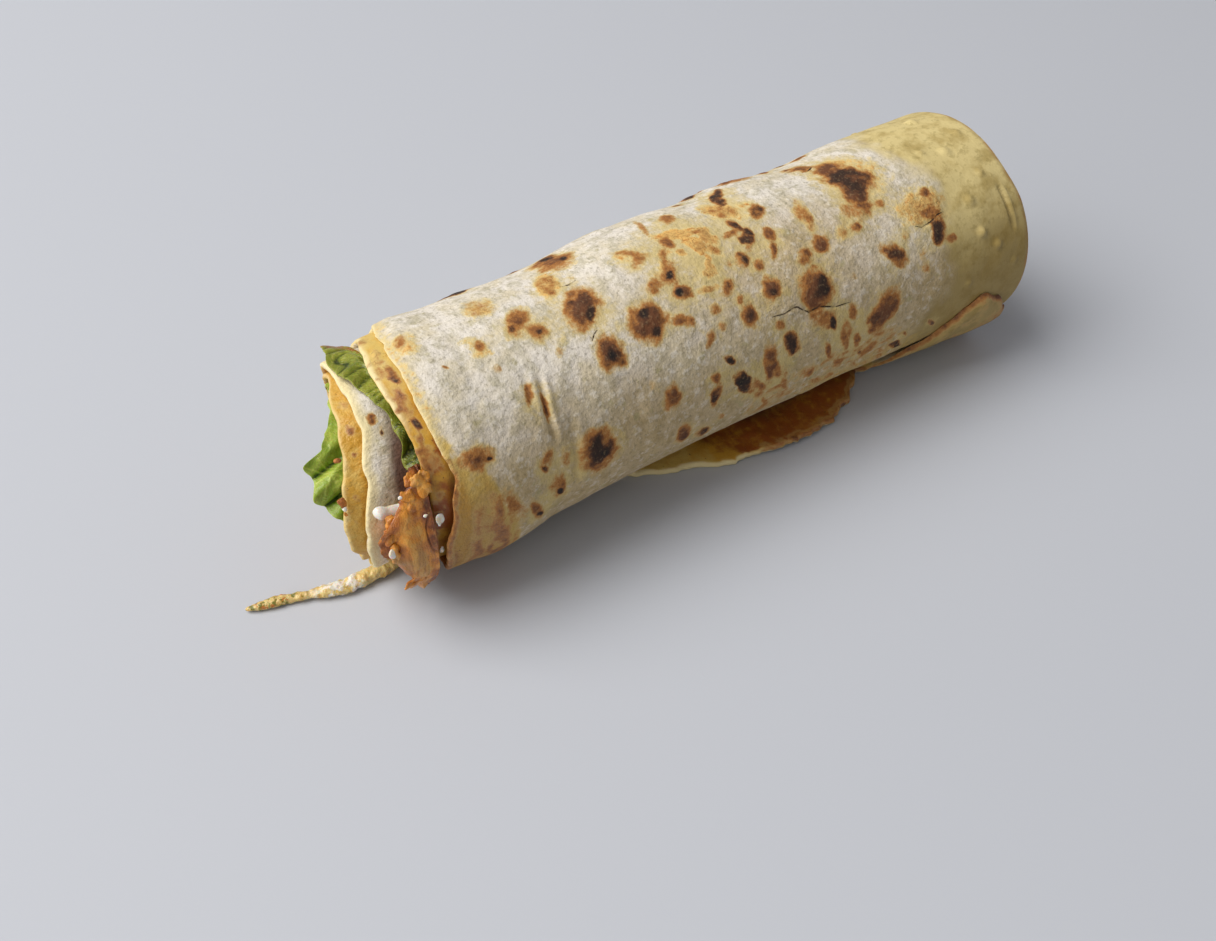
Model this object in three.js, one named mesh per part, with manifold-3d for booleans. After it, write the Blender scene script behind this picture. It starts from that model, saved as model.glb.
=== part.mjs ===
// A rolled doner kebab sandwich: one thin flatbread wound about four times round chicken, lettuce and
// garlic sauce. The end at -X is open and its inner windings stand out like a telescope. The end at +X
// is folded in and wound shut. The bread's free edge comes out from under the roll as a low flap.
// Millimetres. +X runs along the roll, +Z is up, and the roll rests on Z = 0 with the origin under its
// axis, midway along the outermost winding.
import * as THREE from "three";
import Module from "manifold-3d";

// ---- driving dimensions ----
const BREAD = 2.2; // thickness of the flatbread
const HALF_WIDTH = 35.9; // axis to the middle of the outer winding, sideways
const HALF_HEIGHT = 34.6; // and upwards
const AXIS_HEIGHT = 34.3; // a little less than HALF_HEIGHT, so the roll lies on a flat strip
const AXIS_Y = 1.5; // the roll lies a little towards its back, against the flap
const HALF_LENGTH = 105; // of the outermost winding
const HEM = 2.4; // extra thickness of the folded-in end
const HEM_PITCH = 5.3; // from winding to winding at the folded-in end
const FLOOR_BLEND = 1.1; // how softly the round of the roll turns into its flat strip
const FLAP_GAP = 0.7; // between the roll and the part of the free edge that hugs it
const FLAP_WAVE = 0.7; // rise and fall of the flap's outer half
const FLAP_WAVE_LENGTH = 9; // one radian of that wave
const EDGE_ROUND = 2.6; // the folded edge rounds off over this width
const LEAF = 0.9; // thickness of a lettuce leaf
const TOUCH = 0.7; // gap between a filling and the bread beside it
const FILLED_TO = 48; // the fillings between windings end before the folded part
const STRIP_LIFT = 0.15; // of the onion strip from the table

const wasm = await Module();
wasm.setup();

const rad = THREE.MathUtils.degToRad;
const lerp = THREE.MathUtils.lerp;
const smoothstep = THREE.MathUtils.smoothstep;

// A smooth curve through [position, value] pairs, level at both ends.
function along(keys, position) {
  if (position <= keys[0][0]) return keys[0][1];
  for (let i = 1; i < keys.length; i++) {
    const [p0, v0] = keys[i - 1];
    const [p1, v1] = keys[i];
    if (position <= p1) return lerp(v0, v1, smoothstep(position, p0, p1));
  }
  return keys.at(-1)[1];
}

// The larger of two heights, rounded where they cross.
function softMax(a, b) {
  const near = Math.max(0, 1 - Math.abs(a - b) / FLOOR_BLEND);
  return Math.max(a, b) + (FLOOR_BLEND * near ** 2) / 4;
}

// ---- the winding ----
// "turn" is the angle wound so far, in degrees. 270 is under the roll, 360 its back, 450 its top and 540
// its front, and every 360 more is one winding further in.
const UNDER = 270;
const TURN_END = 1700; // inner end of the bread along most of the roll
const COIL_START = 1640; // from here on the folded end is wound shut
const COIL_END = 2390;
const COIL_LEFT = 66; // the coil reaches this far back into the roll

// How far inside the outermost winding the bread lies, along the roll and at its folded end.
const DEPTH_ALONG = [
  [560, 0], [618, 2.9], [720, 2.6], [800, 2.6], [850, 3.0], [890, 4.2], [920, 4.4], [950, 5.0], [990, 5.8],
  [1080, 5.6], [1130, 5.7], [1170, 8.2], [1215, 10.4], [1260, 11.4], [1305, 11.4], [1350, 8.7], [1440, 8.4],
  [1490, 8.6], [1530, 11.6], [1575, 13.4], [1620, 14.4], [1700, 14.8],
  [2060, 17.8], [COIL_END, 20.6],
];
const DEPTH_FOLDED = [
  [560, 0], [622, HEM_PITCH], [920, HEM_PITCH], [982, 2 * HEM_PITCH], [1280, 2 * HEM_PITCH],
  [1342, 3 * HEM_PITCH], [1640, 3 * HEM_PITCH], [1702, 4 * HEM_PITCH], [2000, 4 * HEM_PITCH],
  [2062, 5 * HEM_PITCH], [2200, 5 * HEM_PITCH], [COIL_END, 5.6 * HEM_PITCH],
];
function depthAt(turn, x) {
  return lerp(along(DEPTH_ALONG, turn), along(DEPTH_FOLDED, turn), smoothstep(x, 52, 84));
}

// The roll is a hand-made thing: thicker at its two ends, and slack at the lower front in its middle.
const SWELL_TOP = [
  [-110, 0.2], [-99, -0.4], [-86, -1.4], [-56, -1.4], [-24, 1.7], [-8, 1.7], [5, 0.6], [18, 1.6],
  [41, 0.4], [68, 1.7],
];
const SWELL_FRONT = [
  [-128, 3.2], [-118, 2.2], [-107, 0.9], [-92, 1.9], [-70, -0.9], [-42, -2.1], [-19, -2.6],
  [29, -2.4], [56, -2.0], [80, -1.0], [93, 0],
];
const TOP_SIDE = 50;
const FRONT_SIDE = 217;
function swell(x, angle) {
  const top = Math.max(0, Math.cos(rad(angle - TOP_SIDE)));
  const front = Math.max(0, Math.cos(rad(angle - FRONT_SIDE)));
  return along(SWELL_TOP, x) * top ** 2 + along(SWELL_FRONT, x) * front ** 2;
}

// A point at a depth below the outer winding's middle, in the plane across the roll.
function ringPoint(angle, x, depth) {
  const grow = swell(x, angle) - depth;
  return {
    y: AXIS_Y + (HALF_WIDTH + grow) * Math.cos(rad(angle)),
    z: AXIS_HEIGHT + (HALF_HEIGHT + grow) * Math.sin(rad(angle)),
  };
}

// The same, with each layer flattened where it rests on the one below and the lowest on the table.
function layerPoint(angle, x, depth) {
  const { y, z } = ringPoint(angle, x, depth);
  return new THREE.Vector3(x, y, softMax(z, BREAD / 2 + depth));
}

// A point of the bread: offset is its distance outwards from the bread's middle.
function breadPoint(turn, x, offset) {
  const depth = depthAt(turn, x);
  if (turn >= UNDER) return layerPoint(turn, x, depth - offset);
  const flat = AXIS_Y + rad(turn - UNDER) * HALF_WIDTH;
  const rise = FLAP_WAVE * smoothstep(-flat, 20, 38) * (1 + Math.sin(x / FLAP_WAVE_LENGTH));
  const lying = new THREE.Vector3(x, flat, BREAD / 2 - offset + rise);
  const hug = ringPoint(turn, x, -BREAD - FLAP_GAP - offset);
  const hugging = new THREE.Vector3(x, hug.y, softMax(hug.z, BREAD / 2 - offset));
  return lying.lerp(hugging, smoothstep(x, 50, 66));
}

// ---- the outline of the bread ----
// Where the free edge lies, as a turn, along the roll: the flap, and a small lobe that hugs the folded end.
const FREE_EDGE = [
  [-62, 264], [-40.9, 243.7], [-36.4, 238.4], [-24.7, 230], [-5.9, 220], [15.6, 213.8], [29.2, 215.6],
  [41.8, 222.5], [49.1, 231.5], [54.6, 239], [58, 235], [68, 214], [74.7, 195.5], [81, 187], [88, 181],
  [95, 187], [HALF_LENGTH, 204],
];
// The edge at the open end and at the folded end, as x, against the turn.
const OPEN_EDGE = [
  [270, -70], [360, -96], [395, -98.5], [437, -103.4], [449, -104.9], [480, -105.4], [511, -104.2],
  [530, -107], [549, -110.3], [600, -107], [690, -104], [769, -105.5], [795, -109.4], [814, -111.1],
  [857, -110.1], [911, -111.7], [945, -112], [990, -113], [1080, -114], [1143, -117.7], [1191, -119.2],
  [1219, -123.4], [1251, -127.5], [1269, -128.5], [1310, -126], [1350, -121], [1440, -115], [1494, -117.7],
  [1531, -122.7], [1559, -125.5], [1587, -129.9], [1610, -132.4], [1630, -132], [1643, -129.5],
  [TURN_END, -126],
];
const FOLDED_EDGE = [
  [270, 104], [430, 105.2], [480, 104.8], [500, 106], [545, 106.4], [600, HALF_LENGTH], [900, 104.4],
  [1260, 103], [1620, 101.4], [1980, 99.6], [COIL_END, 97],
];

// How finely the sheet is cut up: shares of its length along the roll, and degrees from row to row.
const COLUMNS = [
  0, 0.012, 0.09, 0.17, 0.24, 0.31, 0.38, 0.45, 0.52, 0.59, 0.66, 0.73, 0.785, 0.825, 0.87, 0.92, 0.96,
  0.985, 1,
];
const FLAP_ROWS = 8;
const FIRST_FULL_TURN = 285; // from here the rows run straight along the roll
const OUTER_STEP = 15;
const OUTER_STEP_TO = 990;
const INNER_STEP = 20;
const COIL_STEP = 25;
const COIL_COLUMNS = [0, 0.25, 0.5, 0.72, 0.86, 0.95, 1];
const COIL_THINNER = 0.04; // each face of the coil lies this far inside the bread it starts from

// Turns of the rows that run straight along the roll.
function rowTurns() {
  const turns = [];
  for (let t = FIRST_FULL_TURN; t < OUTER_STEP_TO; t += OUTER_STEP) turns.push(t);
  for (let t = OUTER_STEP_TO; t < TURN_END; t += INNER_STEP) turns.push(t);
  turns.push(TURN_END);
  return turns;
}

// A closed sheet from a grid of [inner, outer] point pairs: both faces and the rim round them.
function sheetGeometry(grid) {
  const rows = grid.length;
  const columns = grid[0].length;
  const positions = [];
  const index = [];
  for (const side of [0, 1])
    for (const row of grid) for (const pair of row) positions.push(...pair[side].toArray());
  const at = (side, i, j) => (side * rows + i) * columns + j;
  const quad = (a, b, c, d) => index.push(a, b, c, a, c, d);
  for (let i = 0; i + 1 < rows; i++)
    for (let j = 0; j + 1 < columns; j++) {
      quad(at(0, i, j), at(0, i, j + 1), at(0, i + 1, j + 1), at(0, i + 1, j));
      quad(at(1, i, j), at(1, i + 1, j), at(1, i + 1, j + 1), at(1, i, j + 1));
    }
  for (let i = 0; i + 1 < rows; i++) {
    quad(at(0, i, 0), at(0, i + 1, 0), at(1, i + 1, 0), at(1, i, 0));
    const last = columns - 1;
    quad(at(0, i, last), at(1, i, last), at(1, i + 1, last), at(0, i + 1, last));
  }
  for (let j = 0; j + 1 < columns; j++) {
    quad(at(0, 0, j), at(1, 0, j), at(1, 0, j + 1), at(0, 0, j + 1));
    const last = rows - 1;
    quad(at(0, last, j), at(0, last, j + 1), at(1, last, j + 1), at(1, last, j));
  }
  const geometry = new THREE.BufferGeometry();
  geometry.setAttribute("position", new THREE.Float32BufferAttribute(positions, 3));
  geometry.setIndex(index);
  return outward(geometry);
}

// Turns a closed geometry's faces round if they point inwards.
function outward(geometry) {
  const p = geometry.getAttribute("position");
  const index = geometry.getIndex();
  const a = new THREE.Vector3();
  const b = new THREE.Vector3();
  const c = new THREE.Vector3();
  let volume = 0;
  for (let i = 0; i < index.count; i += 3) {
    a.fromBufferAttribute(p, index.getX(i));
    b.fromBufferAttribute(p, index.getX(i + 1));
    c.fromBufferAttribute(p, index.getX(i + 2));
    volume += a.dot(b.cross(c));
  }
  if (volume < 0)
    for (let i = 0; i < index.count; i += 3) {
      const second = index.getX(i + 1);
      index.setX(i + 1, index.getX(i + 2));
      index.setX(i + 2, second);
    }
  geometry.computeVertexNormals();
  return geometry;
}

// The bread is thicker inwards at the folded end, and both its side edges are rounded.
function breadPair(turn, left, right, v, thinner = 0) {
  const x = lerp(left, right, v);
  const toFold = right - x;
  const hem = HEM * (1 - smoothstep(toFold, 6, 18)) * smoothstep(turn, 240, FIRST_FULL_TURN);
  const round = Math.sqrt(Math.min(1, 0.12 + toFold / EDGE_ROUND)) * (v === 0 ? 0.7 : 1);
  return [
    breadPoint(turn, x, thinner - (BREAD / 2 + hem) * round),
    breadPoint(turn, x, (BREAD / 2) * round - thinner),
  ];
}

// Two overlapping solids as one.
function solidOf(geometry) {
  const mesh = new wasm.Mesh({
    numProp: 3,
    vertProperties: geometry.getAttribute("position").array,
    triVerts: new Uint32Array(geometry.getIndex().array),
  });
  return new wasm.Manifold(mesh);
}
function joined(a, b) {
  const mesh = wasm.Manifold.union(solidOf(a), solidOf(b)).getMesh();
  const geometry = new THREE.BufferGeometry();
  geometry.setAttribute("position", new THREE.BufferAttribute(mesh.vertProperties, 3));
  geometry.setIndex(new THREE.BufferAttribute(mesh.triVerts, 1));
  return geometry;
}

// The sheet from its free edge to its inner end, and the folded end wound on shut from there.
function flatbread() {
  const grid = [];
  const flapLeft = along(OPEN_EDGE, UNDER);
  const flapRight = along(FOLDED_EDGE, UNDER);
  for (let i = 0; i < FLAP_ROWS; i++)
    grid.push(
      COLUMNS.map((v) => {
        const edge = along(FREE_EDGE, lerp(flapLeft, flapRight, v));
        return breadPair(lerp(edge, FIRST_FULL_TURN, i / FLAP_ROWS), flapLeft, flapRight, v);
      }),
    );
  for (const turn of rowTurns()) {
    const left = along(OPEN_EDGE, turn);
    const right = along(FOLDED_EDGE, turn);
    grid.push(COLUMNS.map((v) => breadPair(turn, left, right, v)));
  }
  const coil = [];
  for (let turn = COIL_START; turn <= COIL_END; turn += COIL_STEP) {
    const right = along(FOLDED_EDGE, turn) - COIL_THINNER;
    coil.push(COIL_COLUMNS.map((v) => breadPair(turn, COIL_LEFT, right, v, COIL_THINNER)));
  }
  return joined(sheetGeometry(grid), sheetGeometry(coil));
}

// ---- fillings ----
// Each filling lies between two windings, so it is placed by angle and depth like the bread. Angles are
// within one turn: 90 is the top, 180 the front, 270 underneath.
const SECOND = 720; // turn at the back of the second winding, counted from outside
const THIRD = 1080;
const FOURTH = 1440;
const insideOf = (winding, angle) => along(DEPTH_ALONG, winding + angle) + BREAD / 2 + TOUCH;
const outsideOf = (winding, angle) => along(DEPTH_ALONG, winding + angle) - BREAD / 2 - TOUCH;

// Chicken between the second and third windings, low at the front. It bulges and droops out of the open
// end, where its first columns lie free of the bread.
const SLAB_TOP = 145;
const SLAB_FOOT = 238;
const SLAB_OPEN_EDGE = [
  [SLAB_TOP, -115], [151, -117], [159, -120], [168, -122.5], [180, -122.8], [192, -122], [205, -121],
  [222, -118.5], [SLAB_FOOT, -116],
];
const SLAB_BULGE = [[SLAB_TOP, 3.6], [166, 1.6], [190, 1.0], [215, -0.4], [SLAB_FOOT, -1.4]];
const SLAB_ROWS = 13;
const SLAB_COLUMNS = 15;
const SLAB_FREE_COLUMNS = 4;
const SLAB_CLEAR = 0.9; // from the bread's edge to where the chicken starts to bulge
function chickenOutside() {
  const grid = [];
  for (let i = 0; i <= SLAB_ROWS; i++) {
    const row = [];
    const angle = lerp(SLAB_TOP, SLAB_FOOT, i / SLAB_ROWS);
    const left = along(SLAB_OPEN_EDGE, angle);
    const mouth = along(OPEN_EDGE, SECOND + angle) - SLAB_CLEAR;
    for (let j = 0; j <= SLAB_COLUMNS; j++) {
      const free = j < SLAB_FREE_COLUMNS;
      const within = Math.max(0, (j - SLAB_FREE_COLUMNS) / (SLAB_COLUMNS - SLAB_FREE_COLUMNS));
      const x = free ? lerp(left, mouth, j / SLAB_FREE_COLUMNS) : lerp(mouth, FILLED_TO, within ** 1.3);
      const lump = 0.5 + 0.5 * Math.sin(2.1 * i + 0.8 * j) * Math.cos(1.7 * j - 0.6 * i);
      const outer = free ? along(SLAB_BULGE, angle) + 0.8 * lump : insideOf(SECOND, angle) + 0.4 * lump;
      const behind = Math.max(outsideOf(THIRD, angle) - 0.4 * lump, outer + 0.8);
      const inner = lerp(outer + 1.4, behind, smoothstep(angle, 164, 176));
      const rim = Math.min(1, 0.3 + 0.45 * Math.min(i, SLAB_ROWS - i, j, SLAB_COLUMNS - j));
      const middle = (inner + outer) / 2;
      const half = ((inner - outer) / 2) * rim;
      const heel = Math.max(0, 3 - j) * smoothstep(angle, 158, 166) * (1 - smoothstep(angle, 178, 188));
      row.push([layerPoint(angle, x - heel, middle + half), layerPoint(angle, x, middle - half)]);
    }
    grid.push(row);
  }
  return sheetGeometry(grid);
}

// Chicken packed into the middle of the roll, against the innermost winding. The wall is the depth of the
// bread round it and the stations are [x, how far it shrinks from that wall].
const CORE_WALL = [
  [0, 8.0], [50, 8.6], [90, 12], [135, 13.6], [180, 14.6], [255, 16], [280, 18.5], [300, 10], [360, 8.0],
];
const CORE_LEAF_ROOM = [[0, 0.6], [20, 3.6], [210, 3.6], [235, 0.9], [280, 1.2], [360, 0.6]];
const CORE_STATIONS = [
  [-128.5, 9], [-127.2, 4.5], [-124, 1.6], [-117, 0.3], [-108, 0.8], [-98, 0], [-86, 0.7], [-72, 0.1],
  [-58, 0.8], [-42, 0], [-26, 0.7], [-10, 0.2], [6, 0.8], [22, 0], [36, 0.9], [50, 1.6], [58, 3.5], [61, 7],
];
const CORE_SIDES = 18;
function chickenCore() {
  const rings = CORE_STATIONS.map(([x, shrink], i) =>
    Array.from({ length: CORE_SIDES }, (_, k) => {
      const angle = (360 * k) / CORE_SIDES;
      const wall = along(CORE_WALL, angle) + BREAD / 2 + along(CORE_LEAF_ROOM, angle);
      const lump = 0.6 + 0.6 * Math.sin(1.9 * k + 1.3 * i) * Math.cos(0.7 * k - 2.2 * i);
      const slant = 9 * (1 + Math.cos(rad(angle))) * (1 - smoothstep(x, -128, -90));
      return layerPoint(angle, x + slant + 0.8 * Math.sin(3 * rad(angle) + i), wall + shrink + lump);
    }),
  );
  return tubeGeometry(rings);
}

// A leaf is a thin wavy sheet. spread(u, v) gives the angle and x of a point of it, and place the depth.
function leafGeometry(rows, columns, spread, place) {
  const grid = [];
  for (let i = 0; i <= rows; i++) {
    const row = [];
    for (let j = 0; j <= columns; j++) {
      const [angle, x] = spread(i / rows, (j / columns) ** 1.9);
      const depth = place(angle, x, i, j);
      row.push([layerPoint(angle, x, depth + LEAF / 2), layerPoint(angle, x, depth - LEAF / 2)]);
    }
    grid.push(row);
  }
  return sheetGeometry(grid);
}

// Lettuce between the second and third windings, over the top and down the front to the chicken.
const OUTER_LEAF_BACK = 44;
const OUTER_LEAF_FRONT = 144;
const OUTER_LEAF_OPEN_EDGE = [
  [OUTER_LEAF_BACK, -115], [58, -116.5], [70, -115.2], [104, -114.8], [114, -111.8], [127, -112.6],
  [OUTER_LEAF_FRONT, -113.4],
];
const OUTER_LEAF_ROWS = 16;
const OUTER_LEAF_COLUMNS = 16;
function lettuceOutside() {
  const spread = (u, v) => {
    const at = lerp(OUTER_LEAF_BACK, OUTER_LEAF_FRONT, u);
    const x = lerp(along(OUTER_LEAF_OPEN_EDGE, at), FILLED_TO, v);
    return [lerp(lerp(84, 142, u), at, smoothstep(-x, 106, 111)), x];
  };
  return leafGeometry(OUTER_LEAF_ROWS, OUTER_LEAF_COLUMNS, spread, (angle, x, i, j) => {
    const near = insideOf(SECOND, angle) + LEAF / 2;
    const far = outsideOf(THIRD, angle) - LEAF / 2;
    const flare = 1.9 * smoothstep(-x, 109, 116) * (1 - smoothstep(angle, 50, 75));
    const wave = 0.5 + 0.5 * Math.sin(1.75 * i + 0.5 * j);
    return lerp(Math.min(near, far), far, wave * 0.9) - flare;
  });
}

// Lettuce inside the innermost winding, round the chicken. It stands out of the open end at the front.
const CORE_LEAF_BACK = 26;
const CORE_LEAF_FRONT = 204;
const CORE_LEAF_OPEN_EDGE = [
  [20, -116], [54, -118.6], [85, -123.6], [96, -126], [106, -128.6], [112, -131], [117, -135.6],
  [124, -136.2], [131, -135.4], [140, -136.8], [150, -134], [165, -133.4], [178, -131], [205, -127],
];
const CORE_LEAF_ROWS = 22;
const CORE_LEAF_COLUMNS = 15;
function lettuceCore() {
  const spread = (u, v) => {
    const angle = lerp(CORE_LEAF_BACK, CORE_LEAF_FRONT, u);
    return [angle, lerp(along(CORE_LEAF_OPEN_EDGE, angle), FILLED_TO, v)];
  };
  return leafGeometry(CORE_LEAF_ROWS, CORE_LEAF_COLUMNS, spread, (angle, x, i, j) => {
    const wave = 0.9 + 0.6 * Math.sin(1.5 * i + 0.6 * j);
    const curl = 2.2 * smoothstep(-x, 129, 137) * Math.sin(2.3 * i);
    return insideOf(FOURTH, angle) + LEAF / 2 + wave + Math.max(curl, -wave);
  });
}

// A closed tube through rings of points, with a point at the middle of each end.
function tubeGeometry(rings) {
  const sides = rings[0].length;
  const positions = [];
  const index = [];
  for (const ring of rings) for (const p of ring) positions.push(...p.toArray());
  for (let i = 0; i + 1 < rings.length; i++)
    for (let k = 0; k < sides; k++) {
      const a = i * sides + k;
      const b = i * sides + ((k + 1) % sides);
      index.push(a, b, b + sides, a, b + sides, a + sides);
    }
  for (const i of [0, rings.length - 1]) {
    const middle = new THREE.Vector3();
    for (const p of rings[i]) middle.addScaledVector(p, 1 / sides);
    const centre = positions.length / 3;
    positions.push(...middle.toArray());
    for (let k = 0; k < sides; k++) {
      const a = i * sides + k;
      const b = i * sides + ((k + 1) % sides);
      if (i === 0) index.push(centre, b, a);
      else index.push(centre, a, b);
    }
  }
  const geometry = new THREE.BufferGeometry();
  geometry.setAttribute("position", new THREE.Float32BufferAttribute(positions, 3));
  geometry.setIndex(index);
  return outward(geometry);
}

// Garlic sauce: a ribbon on the third winding, above the chicken, that shows as a white streak at the open
// end. The stations are [x, angle, half its span in degrees, half its thickness].
const SAUCE_STATIONS = [
  [-125.5, 162, 1.4, 0.5], [-124, 162, 4.2, 0.8], [-120, 163, 5.0, 0.9], [-115, 161, 4.0, 0.7],
  [-106, 156, 4, 0.6], [-80, 157, 4.6, 0.6], [-50, 155, 3.8, 0.6], [-20, 157, 4.6, 0.6],
  [10, 156, 4, 0.6], [38, 156, 3, 0.5], [FILLED_TO, 156, 1.2, 0.3],
];
const SAUCE_SIDES = 8;
function garlicSauce() {
  const rings = SAUCE_STATIONS.map(([x, angle, span, half]) =>
    Array.from({ length: SAUCE_SIDES }, (_, k) => {
      const a = (2 * Math.PI * k) / SAUCE_SIDES;
      return layerPoint(angle + span * Math.cos(a), x, outsideOf(THIRD, angle) - half + half * Math.sin(a));
    }),
  );
  return tubeGeometry(rings);
}

// An onion strip that has slid out of the roll and lies on the table.
const STRIP_ROUTE = [
  [-114.5, -8.6, 2.4], [-122, -9.8, 2.4], [-131.9, -10, 2.2], [-137.4, -8.4, 1.9], [-145.4, -5.9, 1.6],
  [-153.5, -3.4, 1.4], [-160, -1.2, 1],
];
const STRIP_HALF_WIDTH = [[0, 1.6], [0.1, 2.6], [0.3, 2.4], [0.5, 2.1], [0.62, 1.3], [0.8, 1.6], [1, 0.6]];
const STRIP_FLATNESS = 0.85; // height over width
const STRIP_STEPS = 14;
const STRIP_SIDES = 8;
function onionStrip() {
  const route = new THREE.CatmullRomCurve3(STRIP_ROUTE.map((p) => new THREE.Vector3(...p)));
  const up = new THREE.Vector3(0, 0, 1);
  const rings = [];
  for (let i = 0; i <= STRIP_STEPS; i++) {
    const centre = route.getPointAt(i / STRIP_STEPS);
    const side = new THREE.Vector3().crossVectors(up, route.getTangentAt(i / STRIP_STEPS)).normalize();
    const width = along(STRIP_HALF_WIDTH, i / STRIP_STEPS);
    const height = Math.min(STRIP_FLATNESS * width, centre.z - STRIP_LIFT);
    const ring = [];
    for (let k = 0; k < STRIP_SIDES; k++) {
      const a = (2 * Math.PI * k) / STRIP_SIDES;
      const p = centre.clone().addScaledVector(side, width * Math.cos(a));
      ring.push(p.addScaledVector(up, height * Math.sin(a)));
    }
    rings.push(ring);
  }
  return tubeGeometry(rings);
}

// ---- the sandwich ----
function food(name, geometry, color, roughness) {
  const material = new THREE.MeshStandardMaterial({ color, roughness, metalness: 0 });
  const mesh = new THREE.Mesh(geometry, material);
  mesh.name = name;
  return mesh;
}

const sandwich = new THREE.Group();
sandwich.add(
  food("flatbread", flatbread(), 0xd8cba6, 0.85),
  food("chicken_outside", chickenOutside(), 0xa8642a, 0.5),
  food("chicken_core", chickenCore(), 0xa8642a, 0.5),
  food("lettuce_outside", lettuceOutside(), 0x6d8f2c, 0.45),
  food("lettuce_core", lettuceCore(), 0x5f9a2e, 0.45),
  food("garlic_sauce", garlicSauce(), 0xf1efe4, 0.3),
  food("onion_strip", onionStrip(), 0xe0cf9c, 0.35),
);

export default sandwich;
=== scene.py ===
"""A rolled doner kebab sandwich: one flatbread wound round chicken, lettuce and garlic sauce, lying on
its side with its open end to the left. Sizes are in millimetres unless a name says otherwise."""
import itertools
import math

import bmesh
import bpy
import numpy as np
from mathutils import Matrix, Vector


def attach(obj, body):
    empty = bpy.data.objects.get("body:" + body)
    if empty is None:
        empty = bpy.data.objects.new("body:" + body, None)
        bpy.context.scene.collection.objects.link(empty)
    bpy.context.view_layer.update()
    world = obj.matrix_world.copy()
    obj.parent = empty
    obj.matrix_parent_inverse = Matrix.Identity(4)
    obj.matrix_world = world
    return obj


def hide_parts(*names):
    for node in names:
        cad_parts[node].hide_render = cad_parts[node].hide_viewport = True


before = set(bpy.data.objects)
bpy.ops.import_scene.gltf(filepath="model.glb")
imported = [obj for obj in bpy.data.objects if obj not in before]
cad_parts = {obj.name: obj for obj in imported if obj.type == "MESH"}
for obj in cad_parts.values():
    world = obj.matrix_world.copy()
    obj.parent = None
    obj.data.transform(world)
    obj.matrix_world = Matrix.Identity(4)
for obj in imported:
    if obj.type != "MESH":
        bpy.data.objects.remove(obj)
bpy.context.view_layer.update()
MM = 0.001

# ---- the view, the table and the light ---------------------------------------------------------------
# The sandwich lies on a plain pale table. A window's soft light comes from above, from the open end and a
# little from behind, so the front side is shaded. The room past the open end adds a lower, weaker light.
VIEW_FROM = (-189.1, -229.52, 280.0)
VIEW_RIGHT = Vector((0.83877464, -0.54433932, 0.01232117))
VIEW_DOWN = Vector((-0.38925045, -0.61531332, -0.68547327))
VIEW_LENS = 35.7506
FILM_WIDTH = 36.0
VIEW_CLIP_M = 0.01
TABLE_COLOUR = (193, 196, 203)
TABLE_ROUGHNESS = 0.7
TABLE_SIZE_M = 12.0
# Each lamp: its name, the direction it stands in, its width in metres, its watts and its colour.
LAMPS = [
    ("window", (-0.55, 0.3, 0.8), 2.2, 92.0, (1.0, 0.985, 0.965)),
    ("room", (-1.0, -0.05, 0.33), 2.6, 27.0, (1.0, 0.985, 0.96)),
]
LAMP_DISTANCE_M = 3.0
ROOM_COLOUR = (0.98, 0.98, 1.0, 1)
ROOM_STRENGTH = 0.26

camera_data = bpy.data.cameras.new("view")
camera_data.lens = VIEW_LENS
camera_data.sensor_width = FILM_WIDTH
camera_data.clip_start = VIEW_CLIP_M
camera = bpy.data.objects.new("view", camera_data)
bpy.context.scene.collection.objects.link(camera)
forward = VIEW_RIGHT.cross(VIEW_DOWN)
turned = Matrix((VIEW_RIGHT, -VIEW_DOWN, -forward)).transposed().to_4x4()
camera.matrix_world = Matrix.Translation(Vector(VIEW_FROM) * MM) @ turned
bpy.context.scene.camera = camera
bpy.context.scene.view_settings.view_transform = "Standard"


def tone(red, green, blue):
    """A colour from its 0 to 255 screen values."""
    def linear(value):
        share = value / 255
        return share / 12.92 if share <= 0.04045 else ((share + 0.055) / 1.055) ** 2.4
    return (linear(red), linear(green), linear(blue), 1)


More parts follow.
